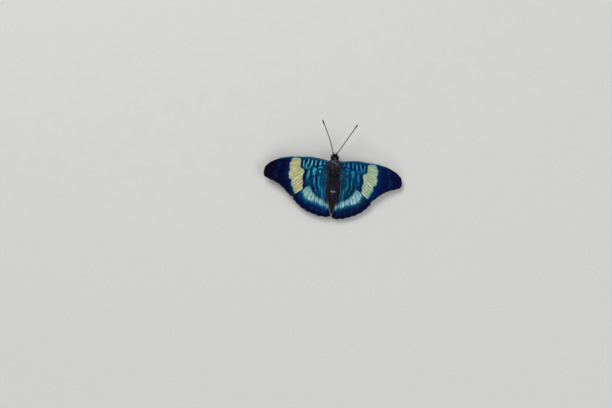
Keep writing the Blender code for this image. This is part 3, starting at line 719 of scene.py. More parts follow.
undersideTones = {
    "ground": (122, 88, 62), "groundDark": (92, 62, 44), "line": (52, 34, 27), "band": (196, 184, 148),
    "outer": (72, 50, 40), "apex": (118, 92, 68), "eyeRing": (34, 22, 20), "eyeIris": (150, 108, 66),
    "eyeSpot": (186, 200, 208), "root": (128, 108, 90),
}


def wingUnderside(layer):
    scales = Finish(f"{layer}wing underside scales", 0.12, undersideTones)
    ramp, mix, noise = scales.ramp, scales.mix, scales.noise
    x, y, _ = scales.attribute("plan")
    across, reach, angle = scales.attribute("fan")
    vein, margin, _ = scales.attribute("edges")
    past, _, spot = scales.attribute("zones")
    ragged = noise((x * 1.5, y * 1.5, 8.1), 4.0, 0.6) - 0.5
    cloud = noise((x * 0.3, y * 0.3, 4.0))
    fleck, relief = singleScales(scales, reach, angle)
    # Fine wavy lines across the cells
    bend = across - 0.5
    wave = reach + bend * bend * 2.6 + ragged * 1.7 + (cloud - 0.5) * 1.6
    broken = ramp(0.28, 0.43, noise((x * 0.9, y * 0.9, 2.0), 1.0))
    lines = ramp(0.2, 0.06, wave.math("PINGPONG", wave, 0.72)) * broken
    coats = [(lines * 0.75, "line")]
    if layer == "fore":
        band = scales.attribute("marks")[0]
        dusk = mix(ramp(27.0, 34.0, x + ragged * 3), "outer", "apex")
        coats += [(ramp(-0.4, 0.4, past), mix(lines * 0.5, dusk, "line")),
                  (ramp(-0.3, 0.3, band + ragged * 0.8), "band")]
    ring = spot / wingPlans[layer]["eyeSize"]
    coats += [
        (ramp(1.0, 0.86, ring), "eyeIris"), (ramp(0.78, 0.66, ring), "eyeRing"),
        (ramp(0.36, 0.26, ring), "eyeSpot"), (ramp(5.5, 2.0, reach), "root"),
        (ramp(0.6, 0.2, margin) * 0.7, "line"), (ramp(0.18, 0.05, vein) * 0.3, "line")]
    ground = mix(ramp(0.35, 0.65, cloud + ragged * 0.3), "ground", "groundDark")
    return scaly(scales, scales.layers(ground, *coats), fleck, relief, (0.86, 0.28), (0.55, 0.15), 7.0)


def rimOf(triangles):
    # The open edges of a net, each with the net on its left
    ways = np.vstack((triangles[:, (0, 1)], triangles[:, (1, 2)], triangles[:, (2, 0)]))
    key = ways[:, 0] * 1000003 + ways[:, 1]
    other = ways[:, 1] * 1000003 + ways[:, 0]
    return ways[~np.isin(key, other)]


def wingBulge(layer, marks):
    # How far the membrane stands up between its veins and ripples at its margin
    across, reach, _ = marks["fan"].T
    steady, _, fromHind = marks["room"].T
    fromRoot = reach - membrane["bare"]
    outer = np.clip(1 - marks["edges"][:, 1] / membrane["rippleWidth"], 0, 1)
    rise = membrane["pleat"] * np.sin(math.pi * across) * taper(fromRoot, membrane["pleatTaper"])
    rise = rise * steady * taper(fromHind, membrane["calmHind"])
    rise += membrane["ripple"] * np.sin(math.tau * across) * outer * steady
    if layer == "fore":
        # The hind edge settles on the hindwing
        settle = membrane["settle"] * np.exp(-(fromHind / membrane["settleWidth"]) ** 2)
        rise -= settle * taper(fromRoot, membrane["settleTaper"])
    return rise


def hump(share):
    return np.clip(1 - share**2, 0, 1)


def buildWing(layer, side, net, marks, fromRim, underside):
    points, triangles, *_ = net
    out = np.clip(marks["fan"][:, 1] / wingPose["reach"], 0, 1)
    width = between(membrane["veinWidth"], out)
    ridge = between(membrane["veinHeight"], out) * hump(marks["edges"][:, 0] / width)
    half = membrane["half"] * taper(fromRim, membrane["rimTaper"])
    if layer == "fore":
        # The front edge is a stout vein, and the hind edge is thin
        stout = between(membrane["frontHeight"], out) * hump(marks["zones"][:, 1] / membrane["frontWidth"])
        thin = taper(fromRim, membrane["thinRim"]) * taper(marks["room"][:, 2], membrane["thinHind"])
        ridge = np.maximum(ridge, stout) * thin
    bulge = wingBulge(layer, marks)
    top = onWing(layer, side, points, half + ridge + bulge)
    under = onWing(layer, side, points, -half - ridge * membrane["underVein"] + bulge)
    up, rim = triangles, rimOf(triangles)
    if side == "left":
        # Mirrored faces are turned round
        up, rim = up[:, ::-1], rim[:, ::-1]
    count = len(points)
    down = up[:, ::-1] + count
    a, b = rim.T
    walls = np.vstack((np.column_stack((b, a, a + count)), np.column_stack((b, a + count, b + count))))
    # Upper face in the lower half of the map, underside in the upper half, and the walls round it
    low, high = points.min(0) - membrane["mapMargin"], points.max(0) + membrane["mapMargin"]
    span = (high - low) * (1, 2)
    outward = unit(points - points[np.unique(rim)].mean(0)) * membrane["wallMargin"]
    flat, skirt = (points - low) / span, (points + outward - low) / span
    uv = np.vstack((flat[up.ravel()], flat[down.ravel() - count] + (0, 0.5),
                    np.vstack((flat, skirt))[walls.ravel()]))
    wingFinishes[layer, side] = wingTop(layer, side)
    piece = meshPiece(
        f"{layer}wing_{side}_scaled", np.vstack((top, under)), np.vstack((up, down, walls)),
        (wingFinishes[layer, side], underside),
        {key: np.tile(values, (2, 1)) for key, values in marks.items()}, uv,
        np.repeat((0, 1, 0), (len(up), len(down), len(walls))))
    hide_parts(f"{layer}wing_{side}")


wingFinishes, wingNets = {}, {}
for layer in wingPlans:
    net = wingNets[layer] = wingNet(layer)
    marks = wingMarks(layer, net[0], *net[2:])
    fromRim = fromLoop(net[0], net[2])
    underside = wingUnderside(layer)
    for side in sides:
        buildWing(layer, side, net, marks, fromRim, underside)
        report(f"{layer}wing on the {side} is made")


bodyPlan = {
    "voxel": 0.1, "smooth": 4,
    # Lobes that the skin is modelled over: centre, half sizes, and turn about X, Y and Z in degrees
    "lobes": (
        ((0, 0.7, 5.5), (3.0, 2.9, 2.65), (0, 0, 0)), ((0, -1.9, 5.35), (2.55, 1.95, 2.35), (0, 0, 0)),
        ((0, 2.9, 5.5), (2.3, 1.3, 1.85), (0, 0, 0)), ((0, 5.45, 5.3), (1.4, 1.45, 1.5), (0, 0, 0)),
        ((0, 6.55, 5.2), (0.8, 0.75, 1.05), (0, 0, 0)), ((0, 6.15, 6.15), (0.72, 0.62, 0.45), (0, 0, 0)),
        ((0, -2.9, 6.6), (1.2, 0.75, 0.7), (0, 0, 0))),
    # Lobes on both sides: wing hinges, shoulder plates, leg bases, collar
    "pairs": (
        ((2.4, 0.5, 6.4), (0.9, 2.3, 0.8), (0, 20, 0)), ((2.25, 2.2, 6.6), (0.75, 1.15, 0.55), (12, 32, 18)),
        ((2.05, -2.2, 5.6), (0.75, 1.2, 0.7), (0, 15, 0)), ((1.15, 2.3, 3.4), (0.5, 0.7, 0.75), (-25, 0, 0)),
        ((1.9, 0.35, 3.5), (0.75, 0.8, 0.85), (0, 35, 0)), ((1.8, -1.5, 3.6), (0.75, 0.85, 0.8), (0, 35, 0)),
        ((0.95, 3.75, 6.1), (0.95, 0.55, 0.6), (20, 15, -12)),
        ((0.8, 4.35, 5.5), (0.75, 0.55, 1.0), (0, 0, 0))),
    "palp": ((0.85, 6.3, 3.6), (1.0, 6.75, 3.45), (0.95, 7.5, 4.1), (0.75, 7.95, 5.2), (0.6, 8.15, 6.05)),
    "palpRadii": ((0, 0.22), (0.3, 0.29), (0.65, 0.27), (0.82, 0.18), (1, 0.08)),
    "neck": ((0, 3.2, 5.4), (0, 5.0, 5.35)), "neckRadius": 0.95,
    # Where the head begins along Y, the height of its middle, and the start and length of the UV map
    "headFrom": 3.9, "headAxis": 5.3, "map": (-24.2, 33.2),
}


def dress(thing, name, finish, key, valuesOf):
    # From body millimetres to metres of the row frame, with what the finish reads at each point
    thing.name = name
    thing.data.name = name
    thing.data.materials.clear()
    thing.data.materials.append(finish.material)
    place = np.empty(len(thing.data.vertices) * 3)
    thing.data.vertices.foreach_get("co", place)
    place = place.reshape(-1, 3)
    keepVectors(thing.data, key, valuesOf(place))
    thing.data.vertices.foreach_set("co", (bodyMiddle + place * mm).ravel())
    thing.data.update()
    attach(thing, "root")
    return place


def addLobe(centre, half, turn=(0, 0, 0), parts=32):
    bpy.ops.mesh.primitive_uv_sphere_add(segments=parts, ring_count=parts // 2, radius=1, location=centre,
                                         rotation=[math.radians(t) for t in turn])
    lobe = bpy.context.object
    lobe.scale = half
    bpy.ops.object.transform_apply(location=True, rotation=True, scale=True)
    return lobe


def closeSkin(doubles=None):
    # Merge what lies together, turn all faces outwards and leave edit mode
    bpy.ops.mesh.select_all(action="SELECT")
    if doubles:
        bpy.ops.mesh.remove_doubles(threshold=doubles)
    bpy.ops.mesh.normals_make_consistent(inside=False)
    bpy.ops.object.mode_set(mode="OBJECT")


def addRods(name, runs, ring=4):
    # Round rods along paths, each point with its own radius, joined as one closed mesh
    line = bpy.data.curves.new(name, "CURVE")
    line.dimensions = "3D"
    line.bevel_depth = 1.0
    line.bevel_resolution = ring
    line.use_fill_caps = True
    for path, radii in runs:
        spline = line.splines.new("POLY")
        spline.points.add(len(path) - 1)
        for point, place, radius in zip(spline.points, path, radii):
            point.co = (*place, 1)
            point.radius = radius
    thing = bpy.data.objects.new(name, line)
    bpy.context.scene.collection.objects.link(thing)
    choose(thing)
    bpy.ops.object.convert(target="MESH")
    thing = bpy.context.object
    bpy.ops.object.mode_set(mode="EDIT")
    closeSkin(0.0005)
    bpy.ops.object.shade_smooth()
    return thing


def mirrored(point, side):
    return np.array(point, float) * (sides[side], 1, 1)


def abdomenAxis(y):
    return abdomen["axis"] - abdomen["drop"] * abdomenShare(y) ** 1.4


def addAbdomen():
    # Rings extruded back from the waist, each segment's hind edge standing over the next one
    start = abdomen["start"] + abdomen["inside"]
    bpy.ops.mesh.primitive_circle_add(vertices=40, radius=1, fill_type="NGON", rotation=(math.pi / 2, 0, 0),
                                      location=(0, start, abdomen["axis"]))
    tail = bpy.context.object
    last, size = (start, abdomen["axis"]), abdomen["waist"]
    tail.scale = (size[0], 1, size[1])
    bpy.ops.object.transform_apply(location=True, rotation=True, scale=True)
    bpy.ops.object.mode_set(mode="EDIT")
    bpy.ops.mesh.select_all(action="SELECT")
    for segment in range(abdomen["segments"]):
        for share, swell in abdomen["rings"]:
            place = (segment + share) / abdomen["segments"]
            y = abdomen["start"] - abdomen["length"] * place
            z = float(abdomenAxis(y))
            half = max(float(valueAt(abdomenWidths, place)) + swell, 0.06)
            tall = (half + 0.1) * abdomen["flatness"]
            half += float(valueAt(abdomen["coat"], place))
            bpy.ops.mesh.extrude_region_move(
                TRANSFORM_OT_translate={"value": (0, y - last[0], z - last[1])})
            bpy.ops.transform.resize(value=(half / size[0], 1, tall / size[1]), center_override=(0, y, z))
            last, size = (y, z), (half, tall)
    closeSkin()
    return tail


def bodyPlace(points):
    # How far round from the back, 0 to 1 at the belly, then Y and X in millimetres
    axis = np.where(points[:, 1] > bodyPlan["headFrom"], bodyPlan["headAxis"], abdomenAxis(points[:, 1]))
    turn = np.arctan2(np.abs(points[:, 0]), points[:, 2] - axis) / math.pi
    return np.column_stack((turn, points[:, 1], points[:, 0]))


bodyTones = {
    "abdomen": (16, 19, 19), "abdomenLight": (38, 38, 39), "rear": (62, 45, 44), "waist": (44, 37, 44),
    "rust": (74, 34, 31), "paintedSheen": (28, 54, 112), "violet": (46, 44, 78), "ring": (160, 148, 162),
    "belly": (112, 94, 76), "segment": (10, 8, 10), "thorax": (42, 40, 45), "thoraxLight": (92, 90, 98),
    "thoraxDark": (22, 16, 20), "side": (46, 30, 30), "front": (122, 137, 158), "shoulder": (94, 62, 56),
    "head": (56, 51, 66), "headLight": (128, 122, 138), "palp": (138, 136, 126), "palpDark": (32, 26, 40),
}


def bodyColour(finish, grain):
    # Markings of the body, the same on the skin and on its coat
    ramp, mix, layers = finish.ramp, finish.mix, finish.layers
    turn, along, x = finish.attribute("place")
    wide = x.math("ABSOLUTE")
    cloud = finish.noise((turn * 5.0, along * 0.8, 2.0), 3.0) - 0.5
    loose = (grain - 0.5) * 0.5 + cloud * 0.9
    # Abdomen, rusty at its sides, with two blue patches of painted sheen on its top and between them a pale
    # ring, painted as the highlight on that joint
    step = ((abdomen["start"] - along) / (abdomen["length"] / abdomen["segments"])).math("FRACT")
    rust = ramp(0.24, 0.38, turn + loose * 0.14) * ramp(0.62, 0.5, turn) * ramp(-5.0, -8.5, along + loose)
    first = ramp(-7.8, -9.8, along + loose * 1.8) * ramp(-12.0, -11.4, along + loose * 0.3)
    second = ramp(-12.4, -12.9, along + loose * 0.5) * ramp(-17.8, -14.6, along + loose * 1.8)
    ring = ramp(-11.6, -11.95, along + loose * 0.4) * ramp(-12.85, -12.4, along + loose * 0.25)
    back = layers(
        mix(ramp(0.3, 0.75, grain + cloud), "abdomen", "abdomenLight"),
        (ramp(-15.5, -19.0, along) * ramp(0.2, 0.8, grain), "rear"),
        (ramp(-8.0, -5.0, along + loose) * 0.6, "waist"),
        ((ramp(0.86, 0.96, step) + ramp(0.1, 0.02, step)) * 0.6, "segment"), (rust * 0.66, "rust"),
        # The two blue patches on the top are painted sheen
        (first * ramp(0.36, 0.14, turn + loose * 0.16) * 0.8, mix(ramp(-0.2, 0.5, loose), "violet", "paintedSheen")),
        (second * ramp(0.24, 0.08, turn + loose * 0.14) * 0.9,
         mix(ramp(-13.0, -15.5, along), "paintedSheen", "violet")),
        # The pale ring on the top of this joint is a painted highlight
        (ring * ramp(0.32, 0.12, turn + loose * 0.06) * 0.9, "ring"),
        (ramp(0.6, 0.74, turn + loose * 0.06), "belly"))
    # Thorax, blue grey in front and brown behind, rusty at the shoulders
    tuft = finish.noise((x * 1.5, along * 0.75, 5.0))
    shoulder = ramp(0.2, 0.3, turn) * ramp(0.42, 0.34, turn) * ramp(0.2, 1.4, along) * ramp(4.0, 3.0, along)
    chest = layers(
        mix(ramp(0.25, 0.8, grain + cloud * 0.6), "thorax", "thoraxLight"),
        (ramp(1.0, 2.8, along + loose * 1.6) * 0.85, "front"),
        (ramp(0.5, -2.5, along + loose) * 0.45, "thoraxDark"), (ramp(0.46, 0.6, tuft) * 0.85, "thoraxDark"),
        (ramp(1.3, 2.3, wide + loose * 0.6) * ramp(3.0, 1.5, along) * 0.6, "side"),
        (ramp(0.44, 0.34, tuft) * ramp(-1.0, 2.0, along) * 0.5, "front"), (shoulder * 0.7, "shoulder"),
        (ramp(0.55, 0.7, turn + loose * 0.05), "belly"))
    # Head and palps
    spots = ramp(0.45, 0.2, wide) * ramp(4.3, 4.6, along) * ramp(5.5, 5.2, along) * ramp(0.25, 0.12, turn)
    outside = wide + (along - 6.8) * 0.22 + loose * 0.1
    face = layers(
        mix(ramp(0.3, 0.75, grain + cloud), "head", "thoraxDark"), (spots, "headLight"),
        (ramp(0.66, 0.86, turn), "belly"),
        (ramp(6.9, 7.3, along), mix(ramp(0.75, 0.95, outside), "palpDark", "palp")))
    return layers(back, (ramp(-3.9, -3.3, along + loose * 0.5), chest),
                  (ramp(4.0, 4.5, along + loose * 0.3), face))


def bodySkinFinish():
    finish = Finish("body skin", 0.15, bodyTones, Roughness=0.62)
    turn, along, x = finish.attribute("place")
    grain = finish.noise((turn * 60.0, along * 9.0, x), 3.0, 0.6)
    scales = finish.cells((turn * 90.0, along * 7.0), 0, 0.7)
    return finish.wear(bodyColour(finish, grain), None, scales * 0.6 + grain * 0.4, 0.00005)


def applyModifier(thing, kind, **settings):
    made = thing.modifiers.new(kind.lower(), kind)
    for key, value in settings.items():
        setattr(made, key, value)
    bpy.ops.object.modifier_apply(modifier=made.name)


def addSkin():
    pieces = [addLobe(*lobe) for lobe in bodyPlan["lobes"]]
    for (x, *centre), half, turn in bodyPlan["pairs"]:
        for way in sides.values():
            pieces.append(addLobe((x * way, *centre), half, (turn[0], turn[1] * way, -turn[2] * way)))
    palp = smoothCurve(bodyPlan["palp"], 0.15)
    radii = valueAt(bodyPlan["palpRadii"], np.linspace(0, 1, len(palp)))
    neck = smoothCurve(bodyPlan["neck"], 0.3)
    runs = [(palp * (way, 1, 1), radii) for way in sides.values()]
    runs.append((neck, np.full(len(neck), bodyPlan["neckRadius"])))
    choose(*pieces, addRods("stalks", runs), addAbdomen())
    bpy.ops.object.join()
    skin = bpy.context.object
    applyModifier(skin, "REMESH", mode="VOXEL", voxel_size=bodyPlan["voxel"], use_smooth_shade=True)
    applyModifier(skin, "SMOOTH", factor=0.5, iterations=bodyPlan["smooth"])
    place = dress(skin, "body_skin", bodySkinFinish(), "place", bodyPlace)
    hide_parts("thorax", "abdomen", "head", "palp_left", "palp_right")
    report(f"body skin has {len(skin.data.polygons)} faces")
    return skin, place


skin, skinPlaces = addSkin()


eyes = {"centre": (1.4, 5.62, 5.36), "half": (0.84, 1.25, 1.36), "lean": 8, "turn": 12, "facet": 0.06,
        "clear": 1.12, "tones": {"lens": (25, 15, 17), "patch": (50, 34, 35), "facetShade": (14, 8, 14)}}


def facetPlace(place, side):
    # Where each point is round the middle of the eye, as flat as its facets
    away = (place - mirrored(eyes["centre"], side)) / eyes["half"]
    turn = np.arccos(np.clip(away[:, 0] * sides[side] / np.linalg.norm(away, axis=1), -1, 1))
    spread = turn / np.maximum(np.hypot(away[:, 1], away[:, 2]), 1e-6) * 1.25
    return np.column_stack((away[:, 1] * spread, away[:, 2] * spread, turn))


def eyeFinish():
    # Six-sided facets from three waves that cross at 60 degrees, with painted shade in the grooves between
    # them
    finish = Finish("eye lens", 0.25, eyes["tones"], Coat_Weight=0.12, Coat_Roughness=0.05)
    u, v, _ = finish.attribute("facet")
    step = math.tau / (eyes["facet"] * 0.866)
    waves = [(u * (step * a) + v * (step * b)).math("COSINE")
             for a, b in ((1, 0), (0.5, 0.866), (-0.5, 0.866))]
    facets = (waves[0] + waves[1] + waves[2]) * 0.22 + 0.33
    patch = finish.noise((u * 1.5, v * 1.5, 3.0), 3.0)
    dark = finish.mix(finish.ramp(0.35, 0.65, patch), "lens", "patch")
    # The grooves between facets are darkened with painted shade
    return finish.wear(finish.mix(finish.ramp(0.3, 0.05, facets) * 0.7, dark, "facetShade"),
                       0.3 - facets * 0.12, facets, 0.000008)


lens = eyeFinish()
for side, way in sides.items():
    eye = addLobe(mirrored(eyes["centre"], side), eyes["half"],
                  (0, eyes["lean"] * way, eyes["turn"] * way), 64)
    bpy.ops.object.shade_smooth()
    dress(eye, f"eye_{side}_lens", lens, "facet", lambda place: facetPlace(place, side))
    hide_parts(f"eye_{side}")


antenna = {
    "root": (0.56, 6.4, 6.55), "rise": (0.82, 7.15, 7.5), "radius": 0.215, "joint": 0.45,
    "bends": {"left": (-3.4, 15.2, 8.3), "right": (5.7, 15.0, 8.2)},
    "tips": {"left": (-7.65, 24.7, 9.6), "right": (10.8, 23.2, 9.2)},
    # How much the stalk thickens to its root and how far out, the least and the swell of a joint on
    # the stalk and on the club, and the club's radii from its end back
    "foot": (0.9, 0.5), "joints": (0.88, 0.2), "clubJoints": (0.96, 0.05),
    "club": ((0, 0.12), (0.35, 0.36), (1.3, 0.3492), (3.4, 0.215)),
}
limbTones = {
    "stalk": (24, 19, 17), "stalkDark": (12, 10, 9), "ring": (84, 76, 66), "clubEnd": (70, 44, 30),
    "leg": (122, 96, 70), "legDark": (62, 44, 34), "legPale": (172, 150, 120), "claw": (28, 18, 14),
}


def antennaFinish():
    finish = Finish("antenna shell", 0.25, limbTones)
    ramp = finish.ramp
    share, out, _ = finish.attribute("along")
    grain = finish.speckle(9000)
    ring = ramp(0.22, 0.1, (out / antenna["joint"]).math("FRACT")) * ramp(0.84, 0.78, share)
    colour = finish.layers(
        finish.mix(ramp(0.3, 0.7, grain), "stalk", "stalkDark"),
        (ring * ramp(0.35, 0.6, grain) * 0.7, "ring"), (ramp(0.965, 0.99, share), "clubEnd"))
    return finish.wear(colour, 0.45 + grain * 0.25, grain, 0.00001)


def pathShare(points, path):
    # For each point, how far along the path it lies, as a share and in millimetres
    lengths = lengthsOf(path)
    nearest = np.argmin(((points[:, None] - path[None]) ** 2).sum(2), 1)
    return lengths[nearest] / lengths[-1], lengths[nearest]


def addLimb(name, finish, runs, ring, path):
    # Rods that know how far along the path they are
    limb = addRods("limb", runs, ring)
    dress(limb, name, finish, "along",
          lambda place: np.column_stack((*pathShare(place, path), np.zeros(len(place)))))
    return limb


feelerFinish = antennaFinish()
for side in sides:
    path = smoothCurve((mirrored(antenna["root"], side), mirrored(antenna["rise"], side),
                        antenna["bends"][side], antenna["tips"][side]), 0.09)
    gone = lengthsOf(path)
    joint = np.mod(gone / antenna["joint"], 1)
    least, swell = antenna["joints"]
    radii = antenna["radius"] * (least + swell * np.sin(math.pi * joint) ** 0.7)
    thicker, within = antenna["foot"]
    radii *= 1 + thicker * np.clip(1 - gone / within, 0, 1)
    fromEnd = gone[-1] - gone
    least, swell = antenna["clubJoints"]
    club = valueAt(antenna["club"], fromEnd) * (least + swell * np.sin(math.pi * joint))
    radii = np.where(fromEnd < antenna["club"][-1][0], club, radii)
    stalk = addLimb(f"antenna_{side}_jointed", feelerFinish, [(path, radii)], 4, path)
    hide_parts(f"antenna_{side}")

tongue = {"stem": ((0, 6.6, 4.6), (0, 6.66, 4.3)), "centre": (0, 6.55, 3.2), "radius": 0.82, "turns": 3.2,
          "end": 0.2, "thickness": 0.115, "start": 100, "apart": 0.045, "count": 150,
          "ribs": (0.08, 1.6), "thins": (1.1, 0.55)}
share = np.arange(tongue["count"]) / (tongue["count"] - 1)
radius = tongue["radius"] - (tongue["radius"] - tongue["end"]) * share**0.8
turn = math.radians(tongue["start"]) - math.tau * tongue["turns"] * share
coil = tongue["centre"] + np.column_stack((0 * turn, -radius * np.cos(turn), radius * np.sin(turn)))
stem = smoothCurve((*tongue["stem"], coil[0] + (0, 0.02, 0.12)), 0.08)
path = np.vstack((stem[:-1], coil))
ribs, spacing = tongue["ribs"]
thick = tongue["thickness"] * (1 + ribs * np.sin(np.arange(len(path)) * spacing))
thick *= np.linspace(*tongue["thins"], len(path))
runs = [(path + (aside, 0, 0), thick) for aside in (tongue["apart"], -tongue["apart"])]
curl = addLimb("proboscis_coiled", feelerFinish, runs, 3, path)
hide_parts("proboscis")

footZ = 0.2
legs = {
    "midleg": ((2.0, 0.35, 3.6), (2.48, 0.4, 3.12), (2.94, 0.45, 2.6), (4.5, 1.0, 3.9), (6.7, 1.88, 0.644),
               (7.0, 2.0, footZ), (9.8, 3.0, footZ)),
    "hindleg": ((1.9, -1.4, 3.7), (2.38, -1.57, 3.3), (2.83, -1.76, 2.8), (4.4, -4.6, 3.4),
                (6.07, -8.82, 0.584), (6.3, -9.4, footZ), (7.4, -13.2, footZ)),
    "foreleg": ((1.3, 2.0, 3.5), (1.56, 2.23, 3.01), (1.86, 2.5, 2.44), (1.8, 4.5, 2.2), (1.75, 5.8, 2.2),
                (1.6, 6.9, 2.3)),
}
# Radii, and the forelegs' share of them. Claws go ahead, aside and up from the end of the foot.
legShape = {
    "thigh": 0.34, "shin": 0.22, "foot": 0.17, "trochanter": 0.26, "foreShare": 0.72, "footJoints": 5,
    "claw": ((0, 0, 0), (0.16, 0.1, 0.02), (0.3, 0.14, -0.06), (0.32, 0.14, -0.17)),
    "clawRadii": (0.055, 0.012), "spurs": (0.0525, 0.01), "spurReach": (0.4, 0.16, 0.6), "spurLowest": 0.05,
}


def legColour(finish, grain):
    share, out, _ = finish.attribute("along")
    ramp = finish.ramp
    band = finish.noise((out * 1.4, 1.0, 1.0), 1.0)
    return finish.layers(
        finish.mix(ramp(0.4, 0.65, grain * 0.5 + band * 0.5), "leg", "legDark"),
        (ramp(0.62, 0.75, grain) * 0.6, "legPale"), (ramp(0.96, 0.985, share), "claw"))


def legFinish():
    finish = Finish("leg shell", 0.3, limbTones)
    grain = finish.speckle(7000)
    return finish.wear(legColour(finish, grain), 0.5 + grain * 0.25, grain, 0.000015)


def legRun(name, side):
    # The path of a leg, its radii, and how far along it the ankle is
    points = np.array([mirrored(p, side) for p in legs[name]])
    path = smoothCurve(points, 0.12)
    path[:, 2] = np.maximum(path[:, 2], footZ)
    fore = name == "foreleg"
    hip, knee, ankle = pathShare(points[[2, 3, 4 if fore else 5]], path)[0]
    thigh, shin, foot = (legShape[part] * (legShape["foreShare"] if fore else 1)
                         for part in ("thigh", "shin", "foot"))
    stations = [(0, 0.4), (hip * 0.8, 0.32), (hip, legShape["trochanter"] * 0.9), (hip + 0.03, thigh * 0.85),
                (hip + (knee - hip) * 0.45, thigh), (knee - 0.03, thigh * 0.62), (knee, thigh * 0.66),
                (knee + 0.03, shin * 0.95), (knee + (ankle - knee) * 0.5, shin), (ankle - 0.02, shin * 1.08),
                (ankle + 0.01, foot * 0.8)]
    joints = legShape["footJoints"]
    for joint in range(joints):
        begin, end = (ankle + 0.01 + (0.99 - ankle) * (joint + more) / joints for more in (0, 1))
        stations += [(begin + (end - begin) * 0.75, foot * (1.08 - 0.05 * joint)),
                     (end - 0.002, foot * (0.82 - 0.04 * joint))]
    return path, valueAt(sorted(stations), pathShare(path, path)[0]), ankle


def clawsAndSpurs(path, ankle):
    # Two curved claws at the end of the foot, and two spurs at the end of the shin
    ahead = path[-1] - path[-4]
    ahead /= np.linalg.norm(ahead)
    across = np.cross(ahead, (0, 0, 1))
    at = np.argmin(np.abs(pathShare(path, path)[0] - ankle)) - 2
    down = path[at + 1] - path[at]
    down /= np.linalg.norm(down)
    long, wide, start = legShape["spurReach"]
    for way in (-1, 1):
        claw = smoothCurve([path[-1] + ahead * out + across * aside * way + (0, 0, up)
                            for out, aside, up in legShape["claw"]], 0.04)
        yield claw, np.linspace(*legShape["clawRadii"], len(claw))
        spur = np.array([path[at] + down * long * k + across * wide * way * (start + k)
                         for k in np.linspace(0, 1, 5)])
        spur[:, 2] = np.maximum(spur[:, 2], legShape["spurLowest"])
        yield spur, np.linspace(*legShape["spurs"], 5)


shell = legFinish()
legPaths = {}
for name in legs:
    for side in sides:
        path, radii, ankle = legRun(name, side)
        legPaths[name, side] = (path, radii)
        runs = [(path, radii)] + ([] if name == "foreleg" else list(clawsAndSpurs(path, ankle)))
        limb = addLimb(f"{name}_{side}_jointed", shell, runs, 4, path)
        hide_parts(f"{name}_{side}")
report("eyes, feelers, tongue and legs are made")


dice = np.random.default_rng(11)
# Each tuft has its own small square of the UV map
atlasPatch = 0.003
tuftCorners = np.array(((0, 0), (1, 0), (0.5, 0.1), (0.1, 0.5), (0.9, 0.5), (0.5, 0.6), (0.5, 1)))
tuftFaces = np.array(((0, 1, 2), (0, 3, 4), (0, 4, 1), (1, 4, 5), (1, 5, 2), (2, 5, 3), (2, 3, 0),
                      (3, 6, 4), (4, 6, 5), (5, 6, 3)))
tuftSpread = {"length": (0.75, 1.2), "width": (0.8, 1.2), "lift": (0.6, 1.4)}
tuftShape = {"sunk": 0.05, "middle": 0.44, "rise": 0.12, "thick": 0.35, "bend": 0.25, "curl": 0.0}


def addTufts(name, finish, slot, root, normal, lie, attributes, atlas, coat, tone=0.0):
    # Thin closed blades, three edges wide at the root and mid length, drawn to a point
    coat = {**tuftShape, **coat}
    count, bend = len(root), coat["bend"]
    normal = unit(normal)
    swirl = np.sin(root[:, (1, 2, 0)] * 2.9 + 1.7 * np.sin(root * 1.9))
    lie = unit(lie) + swirl * coat["curl"]
    lie = unit(lie - (lie * normal).sum(1)[:, None] * normal)
    side = np.cross(lie, normal)
    lie = unit(lie + side * dice.normal(0, coat["scatter"], count)[:, None])
    side = np.cross(lie, normal)
    length, width, lift = ((coat[key] * dice.uniform(*spread, count))[:, None]
                           for key, spread in tuftSpread.items())
    thick = normal * width * coat["thick"]
    base = root - normal * coat["sunk"]
    middle = root + lie * length * 0.5 + normal * (lift * 0.5 + bend * coat["rise"]) * length
    tip = root + lie * length + normal * lift * length * (1 - bend * 0.5)
    wide, narrow = side * width / 2, side * width * coat["middle"]
    points = np.stack((base - wide, base + wide, base + thick, middle - narrow, middle + narrow,
                       middle + thick, tip), 1)
    faces = (tuftFaces + 7 * np.arange(count)[:, None, None]).reshape(-1, 3)
    uv = (atlas[:, None] * (1 - atlasPatch) + tuftCorners * atlasPatch).reshape(-1, 2)[faces.ravel()]
    along = np.tile((0, 0, 0, 0.5, 0.5, 0.5, 1.0), count)
    own = np.column_stack((dice.uniform(0, 1, count), np.full(count, tone)))
    attributes = {key: np.repeat(values, 7, 0) for key, values in attributes.items()}
    attributes["tuft"] = np.column_stack((along, np.repeat(own, 7, 0)))
    meshPiece(name, points.reshape(-1, 3), faces, [finish], attributes, uv)
    report(f"{name}: {count} tufts, {len(faces)} triangles")


def bodyAtlas(points):
    # The skin's own unwrap: round it and along it
    turned = 0.5 + bodyPlace(points)[:, 0] * np.sign(points[:, 0] + 1e-9) / 2
    start, length = bodyPlan["map"]
    return np.column_stack((turned, np.clip((points[:, 1] - start) / length, 0, 1)))


def rootsOn(count, allowed):
    # Random places on the skin, even by area, that the test allows
    mesh = skin.data
    mesh.calc_loop_triangles()
    corners = np.empty(len(mesh.loop_triangles) * 3, np.int32)
    mesh.loop_triangles.foreach_get("vertices", corners)
    corners = skinPlaces[corners.reshape(-1, 3)]
    corners = corners[allowed(corners.mean(1))]
    across = np.cross(corners[:, 1] - corners[:, 0], corners[:, 2] - corners[:, 0])
    area = np.linalg.norm(across, axis=1)
    picked = dice.choice(len(corners), count, p=area / area.sum())
    a, b = dice.uniform(0, 1, (2, count))
    over = a + b > 1
    a, b = np.where(over, 1 - a, a)[:, None], np.where(over, 1 - b, b)[:, None]
    first, second, third = np.moveaxis(corners[picked], 1, 0)
    return first * (1 - a - b) + second * a + third * b, unit(across[picked])


def clearOfEyes(points):
    return (((np.abs(points) - eyes["centre"]) / eyes["half"]) ** 2).sum(1) > eyes["clear"]


def palpPlace(points):
    # How far each point is from the nearer palp, and which way that palp goes there
    path = smoothCurve(bodyPlan["palp"], 0.1)
    away = np.sqrt(((np.abs(points)[:, None] - path[None]) ** 2).sum(2))
    return away.min(1), np.gradient(path, axis=0)[away.argmin(1)]


